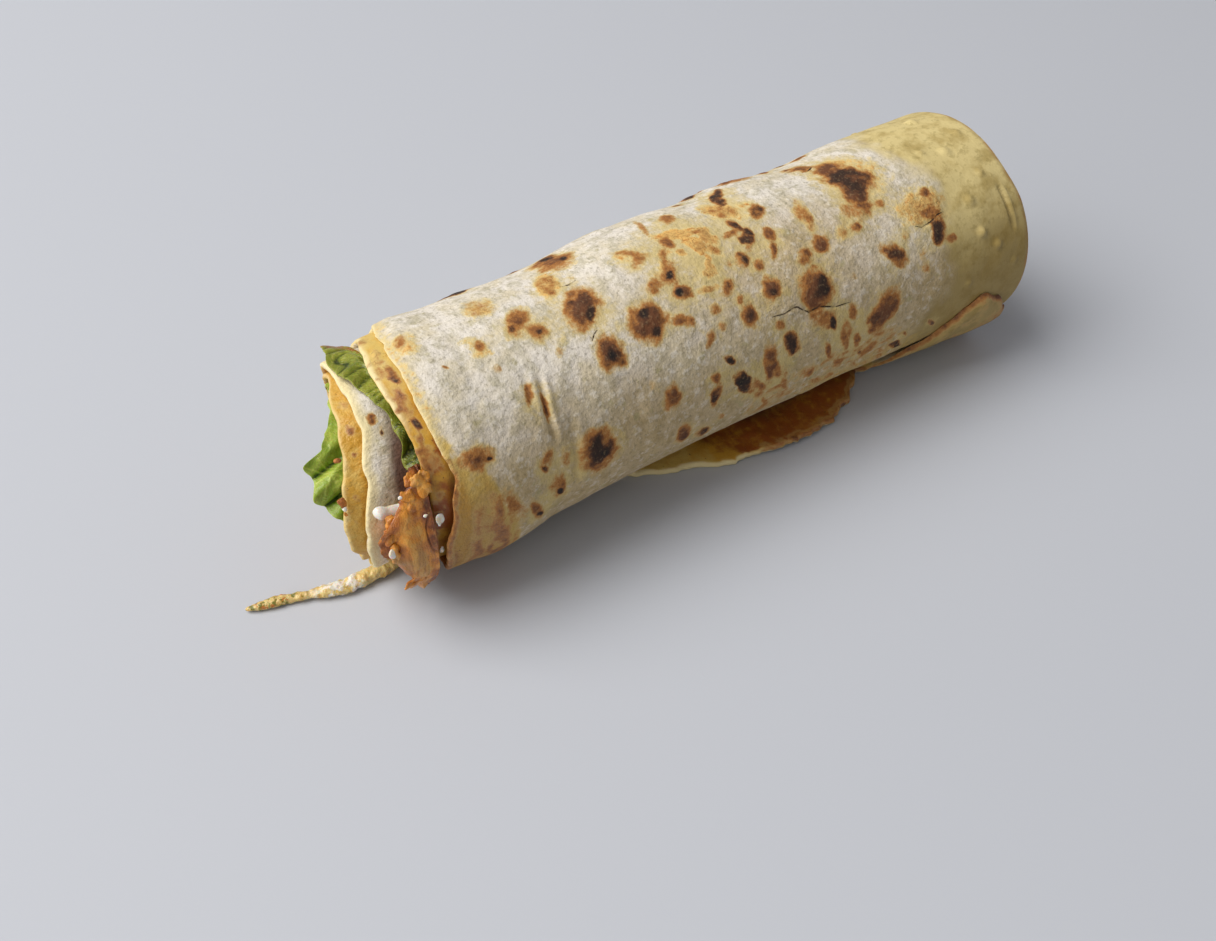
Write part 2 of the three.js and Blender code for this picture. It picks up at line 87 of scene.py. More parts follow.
class Finish:
    """A material made of colours that are laid one over another, and of fine relief. A colour is its
    three screen values, or the socket of a mixed one."""

    def __init__(self, name, ground):
        self.material = bpy.data.materials.new(name)
        self.material.use_nodes = True
        self.tree = self.material.node_tree
        self.shader = self.tree.nodes["Principled BSDF"]
        self.place = self.add("ShaderNodeTexCoord").outputs["Object"]
        self.colour = ground

    def add(self, kind, **settings):
        node = self.tree.nodes.new(kind)
        for name, value in settings.items():
            setattr(node, name, value)
        return node

    def put(self, socket, value):
        if isinstance(value, bpy.types.NodeSocket):
            self.tree.links.new(value, socket)
        else:
            socket.default_value = value

    def field(self, name):
        """A value that the mesh carries at each of its points."""
        return self.add("ShaderNodeAttribute", attribute_name=name).outputs["Fac"]

    def math(self, operation, *values, clamp=False):
        node = self.add("ShaderNodeMath", operation=operation, use_clamp=clamp)
        for socket, value in zip(node.inputs, values):
            self.put(socket, value)
        return node.outputs[0]

    def times(self, first, *others):
        for other in others:
            first = self.math("MULTIPLY", first, other)
        return first

    def plus(self, first, second, clamp=False):
        return self.math("ADD", first, second, clamp=clamp)

    def swing(self, noise, amount):
        """Noise from 0 to 1 made to swing about 0."""
        return self.times(self.math("SUBTRACT", noise, 0.5), amount)

    def frayed(self, name, noise, low, high):
        """A field with its outline frayed by noise, that stays 0 where the field is 0."""
        field = self.field(name)
        return self.times(self.plus(field, noise), self.rise(field, low, high))

    def grain(self, size, detail=3.0, roughness=0.6, stretch=None, twist=0.0):
        """Soft noise from 0 to 1 with lumps of a size in millimetres."""
        place = self.place
        if stretch:
            mapping = self.add("ShaderNodeMapping")
            self.put(mapping.inputs["Vector"], place)
            mapping.inputs["Scale"].default_value = stretch
            place = mapping.outputs["Vector"]
        node = self.add("ShaderNodeTexNoise")
        self.put(node.inputs["Vector"], place)
        node.inputs["Scale"].default_value = 1 / (size * MM)
        node.inputs["Detail"].default_value = detail
        node.inputs["Roughness"].default_value = roughness
        node.inputs["Distortion"].default_value = twist
        return node.outputs["Fac"]

    def rise(self, value, low, high):
        """0 below low, 1 above high, and smooth between them. It may also fall, with low above high."""
        node = self.add("ShaderNodeMapRange", interpolation_type="SMOOTHSTEP")
        self.put(node.inputs["Value"], value)
        node.inputs["From Min"].default_value = min(low, high)
        node.inputs["From Max"].default_value = max(low, high)
        node.inputs["To Min"].default_value = 0.0 if low < high else 1.0
        node.inputs["To Max"].default_value = 1.0 if low < high else 0.0
        return node.outputs["Result"]

    def mixed(self, below, above, amount):
        """One colour laid over another, by an amount from 0 to 1."""
        node = self.add("ShaderNodeMix", data_type="RGBA")
        self.put(node.inputs[0], amount)
        for socket, colour in ((node.inputs[6], below), (node.inputs[7], above)):
            self.put(socket, self.ink(colour))
        return node.outputs[2]

    def ink(self, colour):
        return tone(*colour) if isinstance(colour, tuple) else colour

    def lay(self, colour, amount):
        """Lays a colour over all that has been laid so far."""
        self.colour = self.mixed(self.colour, colour, amount)

    def between(self, low, high, amount):
        """A number that goes from low to high as amount goes from 0 to 1."""
        node = self.add("ShaderNodeMix", data_type="FLOAT")
        self.put(node.inputs[0], amount)
        self.put(node.inputs[2], low)
        self.put(node.inputs[3], high)
        return node.outputs[0]

    def bumps(self, height, depth):
        """Fine relief, with its depth in millimetres."""
        node = self.add("ShaderNodeBump")
        node.inputs["Strength"].default_value = 1.0
        node.inputs["Distance"].default_value = depth * MM
        self.put(node.inputs["Height"], height)
        self.put(self.shader.inputs["Normal"], node.outputs["Normal"])

    def set(self, **sockets):
        """Gives the shader its colour, and other sockets of it by name."""
        self.put(self.shader.inputs["Base Color"], self.ink(self.colour))
        for name, value in sockets.items():
            self.put(self.shader.inputs[name.replace("_", " ").title()], value)


table = bmesh.new()
bmesh.ops.create_grid(table, x_segments=1, y_segments=1, size=TABLE_SIZE_M / 2)
table_mesh = bpy.data.meshes.new("table_top")
table.to_mesh(table_mesh)
table.free()
table_top = bpy.data.objects.new("table_top", table_mesh)
bpy.context.scene.collection.objects.link(table_top)
laminate = Finish("pale_laminate", TABLE_COLOUR)
laminate.set(roughness=TABLE_ROUGHNESS)
table_mesh.materials.append(laminate.material)

for lamp_name, lamp_direction, lamp_width, lamp_power, lamp_colour in LAMPS:
    light = bpy.data.lights.new(lamp_name, "AREA")
    light.shape = "SQUARE"
    light.size = lamp_width
    light.energy = lamp_power
    light.color = lamp_colour
    lamp = bpy.data.objects.new(lamp_name, light)
    aim = Vector(lamp_direction).normalized()
    facing = aim.to_track_quat("Z", "Y").to_matrix().to_4x4()
    lamp.matrix_world = Matrix.Translation(aim * LAMP_DISTANCE_M) @ facing
    bpy.context.scene.collection.objects.link(lamp)

world = bpy.data.worlds.new("room_light")
world.use_nodes = True
world.node_tree.nodes["Background"].inputs["Color"].default_value = ROOM_COLOUR
world.node_tree.nodes["Background"].inputs["Strength"].default_value = ROOM_STRENGTH
bpy.context.scene.world = world

# ---- the flatbread's winding -------------------------------------------------------------------------
# One soft flatbread, about 2 mm thick, is wound about four times round the filling, from the inside out.
# It was baked on a hot plate, dusted with flour, filled, rolled by hand, and its right end folded in.
BREAD = 2.2
HALF_WIDTH = 35.9
HALF_HEIGHT = 34.6
AXIS_HEIGHT = 34.3
AXIS_Y = 1.5
HALF_LENGTH = 105.0
HEM = 2.4  # extra thickness of the folded-in end
HEM_FADE = (6, 18)  # distances from the folded edge over which the hem ends
HEM_TURNS = (240, 285)  # turns over which it begins
HEM_PITCH = 5.3
FOLD_BLEND = (52, 84)  # x over which the loose winding turns into the tight one of the fold
FLOOR_BLEND = 1.1
FLAP_GAP = 0.7
FLAP_WAVE = 0.7
FLAP_WAVE_LENGTH = 9.0
FLAP_WAVE_REACH = (20, 38)  # how far in front of the roll's middle the wave begins and is whole
HUG = (50, 66)  # x over which the flap leaves the table and hugs the folded end
EDGE_ROUND = 2.6
EDGE_LEFT = 0.12  # the square of the share of its thickness that the folded edge keeps
SLOPE = 5.5  # length over which a thinner open rim slopes down
# A "turn" is the angle wound so far in degrees: 270 is under the roll, 360 its back, 450 its top and 540
# its front, and 360 more is one winding further in.
UNDER = 270.0
FIRST_FULL_TURN = 283.0
TURN_END = 1700.0
COIL_START = 1640.0
COIL_END = 2390.0
ARC = math.radians(1) * 36  # length of one degree round the outside

DEPTH_ALONG = [
    (560, 0), (618, 2.9), (720, 2.6), (800, 2.6), (850, 3.0), (890, 4.2), (920, 4.4), (950, 5.0), (990, 5.8),
    (1080, 5.6), (1130, 5.7), (1170, 8.2), (1215, 10.4), (1260, 11.4), (1305, 11.4), (1350, 8.7), (1440, 8.4),
    (1490, 8.6), (1530, 11.6), (1575, 13.4), (1620, 14.4), (1700, 14.8), (2060, 17.8), (COIL_END, 20.6),
]
DEPTH_FOLDED = [
    (560, 0), (622, 1), (920, 1), (982, 2), (1280, 2), (1342, 3), (1640, 3), (1702, 4), (2000, 4), (2062, 5),
    (2200, 5), (COIL_END, 5.6),
]
SWELL_TOP = [
    (-110, 0.2), (-99, -0.4), (-86, -1.4), (-56, -1.4), (-24, 1.7), (-8, 1.7), (5, 0.6), (18, 1.6), (41, 0.4),
    (68, 1.7),
]
SWELL_FRONT = [
    (-128, 3.2), (-118, 2.2), (-107, 0.9), (-92, 1.9), (-70, -0.9), (-42, -2.1), (-19, -2.6), (29, -2.4),
    (56, -2.0), (80, -1.0), (93, 0),
]
TOP_SIDE = 50.0
FRONT_SIDE = 217.0
FREE_EDGE = [
    (-62, 264), (-40.9, 243.7), (-36.4, 238.4), (-24.7, 230), (-5.9, 220), (15.6, 213.8), (29.2, 215.6),
    (41.8, 222.5), (49.1, 231.5), (54.6, 239), (58, 235), (68, 214), (74.7, 195.5), (81, 187), (88, 181),
    (95, 187), (HALF_LENGTH, 204),
]
OPEN_EDGE = [
    (270, -70), (360, -96), (395, -98.5), (437, -103.4), (449, -104.9), (480, -105.4), (511, -104.2),
    (530, -107), (549, -110.3), (600, -107), (690, -104), (769, -105.5), (795, -109.4), (814, -111.1),
    (857, -110.1), (911, -111.7), (945, -112), (990, -113), (1080, -114), (1143, -117.7), (1191, -119.2),
    (1219, -123.4), (1251, -127.5), (1269, -128.5), (1310, -126), (1350, -121), (1440, -115), (1494, -117.7),
    (1531, -122.7), (1559, -125.5), (1587, -129.9), (1610, -132.4), (1630, -132), (1643, -129.5),
    (TURN_END, -126),
]
FOLDED_EDGE = [
    (270, 104), (430, 105.2), (480, 104.8), (500, 106), (545, 106.4), (600, HALF_LENGTH), (900, 104.4),
    (1260, 103), (1620, 101.4), (1980, 99.6), (COIL_END, 97),
]


def smooth(value, low, high):
    """From 0 at low to 1 at high, level at both."""
    share = np.clip((np.asarray(value, float) - low) / (high - low), 0, 1)
    return share * share * (3 - 2 * share)


def fall(value, low, high):
    """From 1 at low to 0 at high."""
    return 1 - smooth(value, low, high)


def span(value, start, full, fading, end):
    """1 from full to fading, and 0 outside start and end."""
    return smooth(value, start, full) * fall(value, fading, end)


def bell(value, width):
    return np.exp(-((value / width) ** 2))


def along(keys, position):
    """A smooth curve through (position, value) pairs, level at both ends."""
    places, values = np.array(keys, float).T
    position = np.asarray(position, float)
    i = np.clip(np.searchsorted(places, position) - 1, 0, len(places) - 2)
    return values[i] + (values[i + 1] - values[i]) * smooth(position, places[i], places[i + 1])


def blend(a, b, share):
    return a + (b - a) * share


def soft_max(a, b):
    """The larger of two heights, rounded where they cross."""
    near = np.maximum(0, 1 - np.abs(a - b) / FLOOR_BLEND)
    return np.maximum(a, b) + FLOOR_BLEND * near**2 / 4


def depth_at(turn, x):
    return blend(along(DEPTH_ALONG, turn), HEM_PITCH * along(DEPTH_FOLDED, turn), smooth(x, *FOLD_BLEND))


def ring_point(angle, x, depth):
    """Across the roll, the point at an angle and a depth below the middle of the outermost winding."""
    top = np.maximum(0, np.cos(np.radians(angle - TOP_SIDE))) ** 2
    front = np.maximum(0, np.cos(np.radians(angle - FRONT_SIDE))) ** 2
    grow = along(SWELL_TOP, x) * top + along(SWELL_FRONT, x) * front - depth
    y = AXIS_Y + (HALF_WIDTH + grow) * np.cos(np.radians(angle))
    z = AXIS_HEIGHT + (HALF_HEIGHT + grow) * np.sin(np.radians(angle))
    return y, z


def layer_point(angle, x, depth):
    """The same, flattened where it rests on the layer below or on the table."""
    y, z = ring_point(angle, x, depth)
    return np.stack(np.broadcast_arrays(x, y, soft_max(z, BREAD / 2 + depth)), axis=-1)


def bread_point(turn, x, offset):
    """A point of the bread, at a distance outwards from its middle."""
    wound = layer_point(turn, x, depth_at(turn, x) - offset)
    flat = AXIS_Y + np.radians(turn - UNDER) * HALF_WIDTH
    lift = FLAP_WAVE * smooth(-flat, *FLAP_WAVE_REACH) * (1 + np.sin(x / FLAP_WAVE_LENGTH))
    lying = np.stack(np.broadcast_arrays(x, flat, BREAD / 2 - offset + lift), axis=-1)
    hug_y, hug_z = ring_point(turn, x, -BREAD - FLAP_GAP - offset)
    hugging = np.stack(np.broadcast_arrays(x, hug_y, soft_max(hug_z, BREAD / 2 - offset)), axis=-1)
    flap_share = smooth(x, *HUG)[..., None]
    return np.where((np.asarray(turn) >= UNDER)[..., None], wound, blend(lying, hugging, flap_share))


def lumps(points, size, seed=0):
    """Smooth noise from -1 to 1 at points in millimetres, with lumps of the given size."""
    spot = points / size + 17.31 * seed
    cell = np.floor(spot)
    within = smooth(spot - cell, 0, 1)
    total = 0
    for corner in itertools.product((0, 1), repeat=3):
        mixed = np.sin((cell + corner) @ np.array([127.1, 311.7, 74.7])) * 43758.5453
        share = np.prod(np.where(corner, within, 1 - within), axis=-1)
        total = total + share * (2 * (mixed - np.floor(mixed)) - 1)
    return total


# ---- how a sheet is made from a flat grid ------------------------------------------------------------
# A grid is wrapped round the section of the bread: along its outer face, round the folded rim, back along
# its inner face and round the open rim, where its two sides are joined. Its rows follow the winding.
RIM = 0.9
RIM_STEPS = 6
RIM_SQUARENESS = 0.7
MERGED_M = 0.002 * MM
COLLAPSED_M = 0.0005 * MM
CRACK_FAR = 9.0  # how far from a crack its field ends


def section(outer_shares, inner_shares):
    """For each column of the grid: its share of the way along the roll, its face, 1 outside and -1
    inside, and how far out it is on a rim, 1 at the folded rim's middle and -1 at the open rim's."""
    arc = np.radians(np.linspace(0, 180, RIM_STEPS + 2)[1:-1])
    level = np.zeros(len(outer_shares)), np.zeros(len(inner_shares))
    share = np.concatenate([outer_shares, np.ones(RIM_STEPS), inner_shares[::-1], np.zeros(RIM_STEPS), [0]])
    side = np.concatenate([level[0] + 1, np.cos(arc), level[1] - 1, -np.cos(arc), [1]])
    rim = np.concatenate([level[0], np.sin(arc), level[1], -np.sin(arc), [0]])
    return share, np.sign(side) * np.abs(side) ** RIM_SQUARENESS, rim


def grid_mesh(points, fields):
    """A bmesh grid whose rows and columns are laid on the points, with a float layer for each field.
    Nothing goes below the table."""
    rows, columns = points.shape[:2]
    mesh = bmesh.new()
    bmesh.ops.create_grid(mesh, x_segments=columns - 1, y_segments=rows - 1, size=1)
    layers = {name: mesh.verts.layers.float.new(name) for name in fields}
    flat = points.reshape(-1, 3) * MM
    flat[:, 2] = np.maximum(flat[:, 2], 0)
    values = {name: np.broadcast_to(value, (rows, columns)).ravel() for name, value in fields.items()}
    for vert in mesh.verts:
        column = round((vert.co.x + 1) / 2 * (columns - 1))
        row = round((vert.co.y + 1) / 2 * (rows - 1))
        k = row * columns + column
        vert.co = flat[k]
        for name, layer in layers.items():
            vert[layer] = values[name][k]
    return close_up(mesh)


def close_up(mesh):
    """Joins the sides that meet, cuts off corners without thickness, and fills ends that are left open."""
    bmesh.ops.remove_doubles(mesh, verts=mesh.verts, dist=MERGED_M)
    bmesh.ops.dissolve_degenerate(mesh, edges=mesh.edges, dist=COLLAPSED_M)
    corners = [vert for vert in mesh.verts if len(vert.link_edges) == 2]
    bmesh.ops.delete(mesh, geom=corners, context="VERTS")
    open_edges = [edge for edge in mesh.edges if edge.is_boundary]
    if open_edges:
        filled = bmesh.ops.holes_fill(mesh, edges=open_edges, sides=0)
        bmesh.ops.triangulate(mesh, faces=filled["faces"])
    return mesh


def serve(name, mesh, finish, *nodes):
    """Makes a finished piece of the sandwich from a bmesh, its faces outwards, in place of its solids."""
    bmesh.ops.recalc_face_normals(mesh, faces=mesh.faces)
    for face in mesh.faces:
        face.smooth = True
    data = bpy.data.meshes.new(name)
    mesh.to_mesh(data)
    mesh.free()
    data.materials.append(finish.material)
    piece = bpy.data.objects.new(name, data)
    bpy.context.scene.collection.objects.link(piece)
    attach(piece, "root")
    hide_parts(*nodes)


def bread_section(turn, columns, left, right, thinner=0.0):
    """x and the offset from the sheet's middle for each point of it. At its open rim the sheet's outer
    face slopes down, so that it is that much thinner."""
    share, side, rim = columns
    x = blend(left + RIM, right - RIM, share) + rim * RIM
    to_fold = right - x
    hem = HEM * fall(to_fold, *HEM_FADE) * smooth(turn, *HEM_TURNS)
    rounded = np.sqrt(np.minimum(1, EDGE_LEFT + to_fold / EDGE_ROUND))
    offset = side * rounded * (BREAD / 2 + hem * (side < 0))
    offset = offset - thinner * fall(x - left, 0, SLOPE) * (1 + side) / 2
    return x, offset


def tear(x, left, place, coarse, size, fine, reach):
    """Moves the points near an open rim to and fro, so that it is ragged."""
    ragged = coarse * lumps(place, size, 3) + fine * lumps(place, 2, 4)
    return x + ragged * fall(x - left, 0, reach)


def bread_fields(turn, offset, **fields):
    """What the flatbread's finish reads at each point: its place on the flat sheet, and its marks."""
    names = ("toast", "char", "gold", "warm", "oil", "bare", "soak", "gloom", "rim", "fold")
    plain = {name: 0.0 for name in names} | {"crack": CRACK_FAR}
    return plain | {"around": np.radians(turn) * HALF_WIDTH * MM, "through": offset * MM} | fields


# ---- toast marks -------------------------------------------------------------------------------------
# The hot plate browned the bread where it touched and blistered it. Each mark is an oval on the outer
# winding: x along the roll, angle round it (90 on top, 180 in front), half its length and half its width,
# its tilt, and how brown, charred and golden it is.
MARKS = [
    (-10, 37, 5, 1.5, -65, 0.5, 0.4, 0), (22, 38, 3, 1.5, -50, 0.6, 0.4, 0),
    (35, 31, 6, 2, -55, 0.5, 0, 0.3), (-100, 86, 3, 1.5, -70, 0.5, 0, 0.4),
    (-75, 82, 4.5, 4, 90, 0.35, 0, 0.5), (-54, 84, 6, 3, -65, 0.35, 0, 0.8),
    (-47, 87, 1, 1, 80, 0.2, 0, 0.4), (-46, 67, 6, 5, 55, 0.6, 0, 0.4), (-43, 70, 1.5, 1, 80, 0.9, 0.7, 0),
    (-17, 73, 6, 1, -75, 0.5, 0, 0.2), (-9, 75, 3.5, 2, -55, 0.55, 0.1, 0.2),
    (6, 86, 2, 1.5, 25, 0.5, 0, 0.3), (7, 83, 5.5, 3, 55, 0.4, 0, 0.9),
    (11, 73, 4.5, 2, -65, 0.9, 0.7, 0.3), (14, 67, 4, 1, -55, 0.9, 0.6, 0),
    (14, 86, 2, 1.5, 30, 0.1, 0, 0.6), (44, 70, 5, 2.5, 45, 0.65, 0.35, 0.3),
    (53, 80, 4, 2, 40, 0.35, 0, 0.8), (-100, 89, 4.5, 3.5, -70, 0, 0, 0.5),
    (-94, 108, 0.5, 0.5, -50, 0.45, 0, 0), (-83, 104, 3.5, 2.5, 25, 0, 0, 0.5),
    (-82, 104, 2, 1.5, 15, 0.5, 0, 0.3), (-72, 103, 1.5, 1, -60, 0.8, 0.6, 0),
    (-69, 100, 5.5, 3, -55, 0.6, 0, 0.6), (-66, 108, 3, 2.5, -50, 0.55, 0, 0.5),
    (-66, 109, 1, 0.5, -45, 0.7, 0.5, 0), (-55, 90, 2, 1.5, -60, 0.5, 0, 0.4),
    (-51, 105, 6.5, 4.5, -50, 1, 0.45, 0.3), (-30, 90, 4, 3, 25, 0, 0, 0.45),
    (-28, 89, 5, 1.5, 35, 0.5, 0, 0.5), (-28, 95, 2.5, 1.5, -45, 0.55, 0, 0.3),
    (-23, 106, 4, 3, -35, 0.6, 0, 0.3), (-23, 107, 1.5, 1, -35, 0.9, 0.9, 0),
    (-21, 98, 4.5, 1.5, -45, 0.4, 0, 0.7), (-16, 91, 3, 2, -50, 0.6, 0.05, 0.4),
    (-11, 88, 6.5, 2, 15, 0.15, 0, 1), (-9, 98, 4, 2.5, 60, 0.2, 0, 1), (-4, 95, 4, 2, 75, 0.3, 0, 1),
    (-10, 109, 3.5, 1.2, -55, 0.2, 0, 0.9), (-5, 104, 2.5, 1.5, 60, 0.35, 0, 0.8),
    (-15, 99, 1.5, 1, 40, 0.2, 0, 0.8), (-6, 91, 1.5, 1, 30, 0.5, 0, 0.6), (3, 99, 3, 1, -5, 0.6, 0, 0),
    (5, 109, 2, 1, -55, 0.45, 0, 0), (6, 95, 3, 1.5, 75, 0.9, 0.5, 0), (7, 103, 3, 2, -45, 0.8, 0.6, 0.1),
    (14, 106, 2.5, 1.5, 90, 0.8, 0.1, 0.1), (16, 92, 3, 2, -40, 0.75, 0.5, 0.2),
    (28, 104, 5.5, 2, -75, 0.45, 0, 0.6), (49, 103, 5, 3.5, -20, 1, 0.5, 0),
    (51, 94, 7.5, 5, 35, 1, 0.6, 0.3), (50, 84, 6, 4, 60, 0.9, 0.25, 0.4), (53, 92, 10, 7.5, 20, 0, 0, 0.5),
    (-82, 117, 1.5, 1, -60, 0.3, 0, 0), (-64, 121, 1.5, 1, -45, 0.4, 0, 0.2),
    (-61, 116, 2, 1, -60, 0, 0, 0.3), (-50, 110, 3, 1.5, -40, 1, 1, 0),
    (-50, 129, 4.5, 3.5, -80, 0.9, 0.4, 0.3), (-50, 130, 2, 1.5, -75, 1, 1, 0),
    (-36, 123, 5.5, 5, -25, 0.95, 0.3, 0.3), (-36, 119, 2, 1.5, 0, 1, 1, 0),
    (-35, 128, 1.5, 1.5, 10, 1, 1, 0), (-29, 110, 2.5, 2, -25, 0.5, 0, 0.3),
    (-27, 128, 2.5, 1.5, 15, 0.6, 0.1, 0.2), (-24, 131, 2, 2, 0, 0.5, 0, 0),
    (-23, 117, 1, 1, -20, 1, 0.9, 0), (-22, 117, 2.5, 2, -10, 0.8, 0.1, 0.2),
    (-22, 112, 2, 1, -55, 0.4, 0, 0), (-20, 118, 1.5, 1.5, -20, 0.6, 0, 0),
    (-15, 129, 2, 1.5, -40, 0.5, 0, 0.2), (-14, 120, 3, 1, 5, 0.35, 0, 0.6),
    (-11, 112, 2.5, 2, -35, 0.3, 0, 0.8), (-8, 123, 2.5, 2, -35, 0.75, 0.4, 0),
    (-6, 130, 1.5, 1, -50, 0.7, 0.4, 0), (-4, 113, 1.5, 1, -35, 0.45, 0, 0),
    (1, 114, 2.5, 2, -45, 0.8, 0.5, 0.1), (5, 119, 2, 1.5, -65, 0.6, 0, 0.3),
    (12, 115, 3, 1, -55, 0.7, 0.05, 0.2), (20, 123, 3, 2.5, -30, 0.65, 0.1, 0.2),
    (27, 120, 3, 2.5, -15, 0.75, 0.05, 0.2), (37, 120, 3.5, 2.5, -50, 0.25, 0, 0.5),
    (42, 120, 2, 1.5, -15, 0.6, 0, 0.1), (46, 111, 5.5, 4, -5, 0.55, 0, 0.3),
    (48, 110, 2.5, 1.5, 15, 0.8, 0.1, 0), (54, 113, 2, 1.5, -5, 0.45, 0, 0.2),
    (67, 123, 8.5, 5.5, 10, 0.28, 0, 0.75), (69, 126, 4, 2.5, 20, 0.7, 0.1, 0),
    (70, 116, 2.5, 1.5, 0, 0.7, 0, 0), (-97, 148, 4.5, 3, 25, 0.6, 0.05, 0.3),
    (-97, 148, 1.5, 1.5, 40, 0.7, 0.25, 0), (-94, 150, 0.5, 0.5, -85, 0.9, 0.8, 0),
    (-77, 132, 3.5, 1, -65, 0.55, 0.1, 0.2), (-74, 139, 4.5, 0.5, -85, 0.85, 0.35, 0.2),
    (-42, 150, 1.5, 1, -85, 0.35, 0, 0), (-20, 141, 2.5, 1.5, -45, 0.65, 0.05, 0),
    (-15, 138, 1.5, 1.5, -65, 0.5, 0, 0), (-5, 137, 3, 3, -15, 0.75, 0, 0.1),
    (-5, 137, 2, 2, -55, 0.9, 0.45, 0), (4, 148, 2, 1.5, -90, 0.65, 0.1, 0),
    (5, 132, 3.5, 3, -55, 0.8, 0, 0.3), (5, 133, 1.5, 1.5, -20, 0.9, 0.6, 0),
    (20, 140, 6, 5.5, -75, 0.9, 0.1, 0.2), (22, 139, 4, 3, -65, 1, 0.85, 0),
    (34, 141, 1.5, 1.5, -5, 0.35, 0, 0.1), (50, 138, 5.5, 2.5, 45, 0.8, 0.4, 0.2),
    (57, 133, 1.5, 1.5, -15, 0.3, 0, 0.4), (61, 151, 2, 1.5, 35, 0.5, 0, 0.1),
    (61, 146, 3, 2, -80, 0.3, 0, 0.1), (69, 136, 4, 2.5, -65, 0.95, 0.6, 0),
    (73, 142, 2.5, 1.5, 15, 0.6, 0, 0.2), (-79, 166, 1.5, 1, 55, 0.8, 0.5, 0),
    (-78, 162, 3.5, 2, -70, 0.55, 0.05, 0), (-72, 166, 3.5, 1.5, -90, 0.4, 0, 0),
    (-62, 170, 7.5, 5.5, 80, 0.9, 0.4, 0), (-62, 170, 4.5, 3.5, 80, 1, 1, 0),
    (-36, 160, 4, 2.5, -80, 0.75, 0, 0.1), (-21, 160, 2, 1.5, 70, 0.7, 0.1, 0),
    (-21, 169, 3.5, 2, -75, 0.8, 0.5, 0), (-15, 154, 2, 1.5, 70, 0.8, 0.7, 0),
    (-11, 170, 4.5, 2.5, 50, 0.9, 0.8, 0), (-1, 165, 6.5, 2.5, -90, 0.75, 0.1, 0),
    (5, 175, 4, 1, 75, 0.3, 0, 0), (7, 159, 3.5, 2.5, 70, 0.85, 0.6, 0), (19, 154, 5.5, 3, 25, 0.5, 0, 0.1),
    (23, 158, 3, 1, 80, 0.8, 0.6, 0), (28, 167, 4.5, 2, 85, 0.45, 0, 0.2),
    (31, 157, 2.5, 1.5, 85, 0.55, 0, 0), (39, 167, 3.5, 3, 50, 0.9, 0.5, 0),
    (43, 165, 7.5, 4.5, -50, 0.85, 0.15, 0.1), (-101, 196, 6, 1.5, 75, 0.6, 0.05, 0),
    (-96, 184, 3, 1.5, 70, 0.5, 0.05, 0), (-93, 188, 2, 1, 70, 0.45, 0, 0),
    (-83, 187, 6, 1.5, 75, 0.6, 0, 0), (-82, 191, 2, 0.5, 50, 0.9, 0.8, 0),
    (-75, 179, 5.5, 2.5, 75, 0.5, 0, 0), (-75, 183, 2, 1, 60, 0.9, 0.9, 0),
    (-32, 185, 4.5, 2.5, 65, 0.8, 0.3, 0), (-24, 194, 3.5, 2.5, 65, 0.6, 0.5, 0),
    (-18, 187, 2.5, 1, 60, 0.35, 0, 0), (-4, 183, 3.5, 1.5, 60, 0.55, 0.1, 0),
    (0, 194, 3.5, 1, 60, 0.5, 0, 0), (6, 184, 4.5, 1.5, 65, 0.45, 0, 0), (15, 183, 3.5, 2, 55, 0.5, 0.1, 0),
    (27, 186, 3, 2.5, 85, 0.5, 0.1, 0), (36, 187, 2, 0.5, 55, 0.7, 0.5, 0),
    (39, 188, 4.5, 3, -60, 0.5, 0.1, 0), (52, 194, 3.5, 1.5, 45, 0.9, 0.8, 0),
    (55, 188, 2, 0.5, 50, 0.5, 0.3, 0), (66, 188, 3, 1, 50, 0.7, 0.6, 0), (6, 225, 4, 1, 65, 0.4, 0, 0),
    (15, 231, 5, 1, 65, 0.65, 0.1, 0), (-6.5, 173, 2.4, 1.6, 60, 0.55, 0.1, 0.2),
    (-3.5, 178, 3, 1.2, 60, 0.6, 0.2, 0.1), (-7.5, 178, 1.6, 1.2, 40, 0.5, 0, 0),
    (2, 172, 3.2, 1.4, 70, 0.5, 0, 0.3), (92, 18, 3, 2, 40, 0.35, 0, 0.5),
    (82, -22, 4, 2.5, -50, 0.4, 0.05, 0.4), (71, 34, 3, 2, 30, 0.5, 0.1, 0.3),
    (96, -48, 2.5, 1.5, 20, 0.35, 0, 0.4), (76, -52, 3, 2, 60, 0.4, 0, 0.4),
    (21, 174, 4, 1.2, 70, 0.55, 0.1, 0.3), (28, 172, 4.5, 1.3, 75, 0.6, 0.15, 0.3),
    (33, 176, 4, 1.2, 70, 0.6, 0.2, 0.3),
]
HIDDEN_MARKS = 95  # on the back and underside
HIDDEN_SIDE = (-78, 62)
HIDDEN_REACH = (-92, 66)
HIDDEN_SEED = 11
HIDDEN_LENGTHS = {1.5: 0.3, 2: 0.3, 3: 0.2, 4.5: 0.13, 6.5: 0.07}  # half length and how common it is
HIDDEN_GOLD = {0: 0.5, 0.3: 0.35, 0.8: 0.15}
DRIFT_WIDTH = 2.6  # marks narrower than this are bent less by the noise
NARROWEST = 0.8
COOL_RING = 2.0  # how far past a mark the bread round it is warm


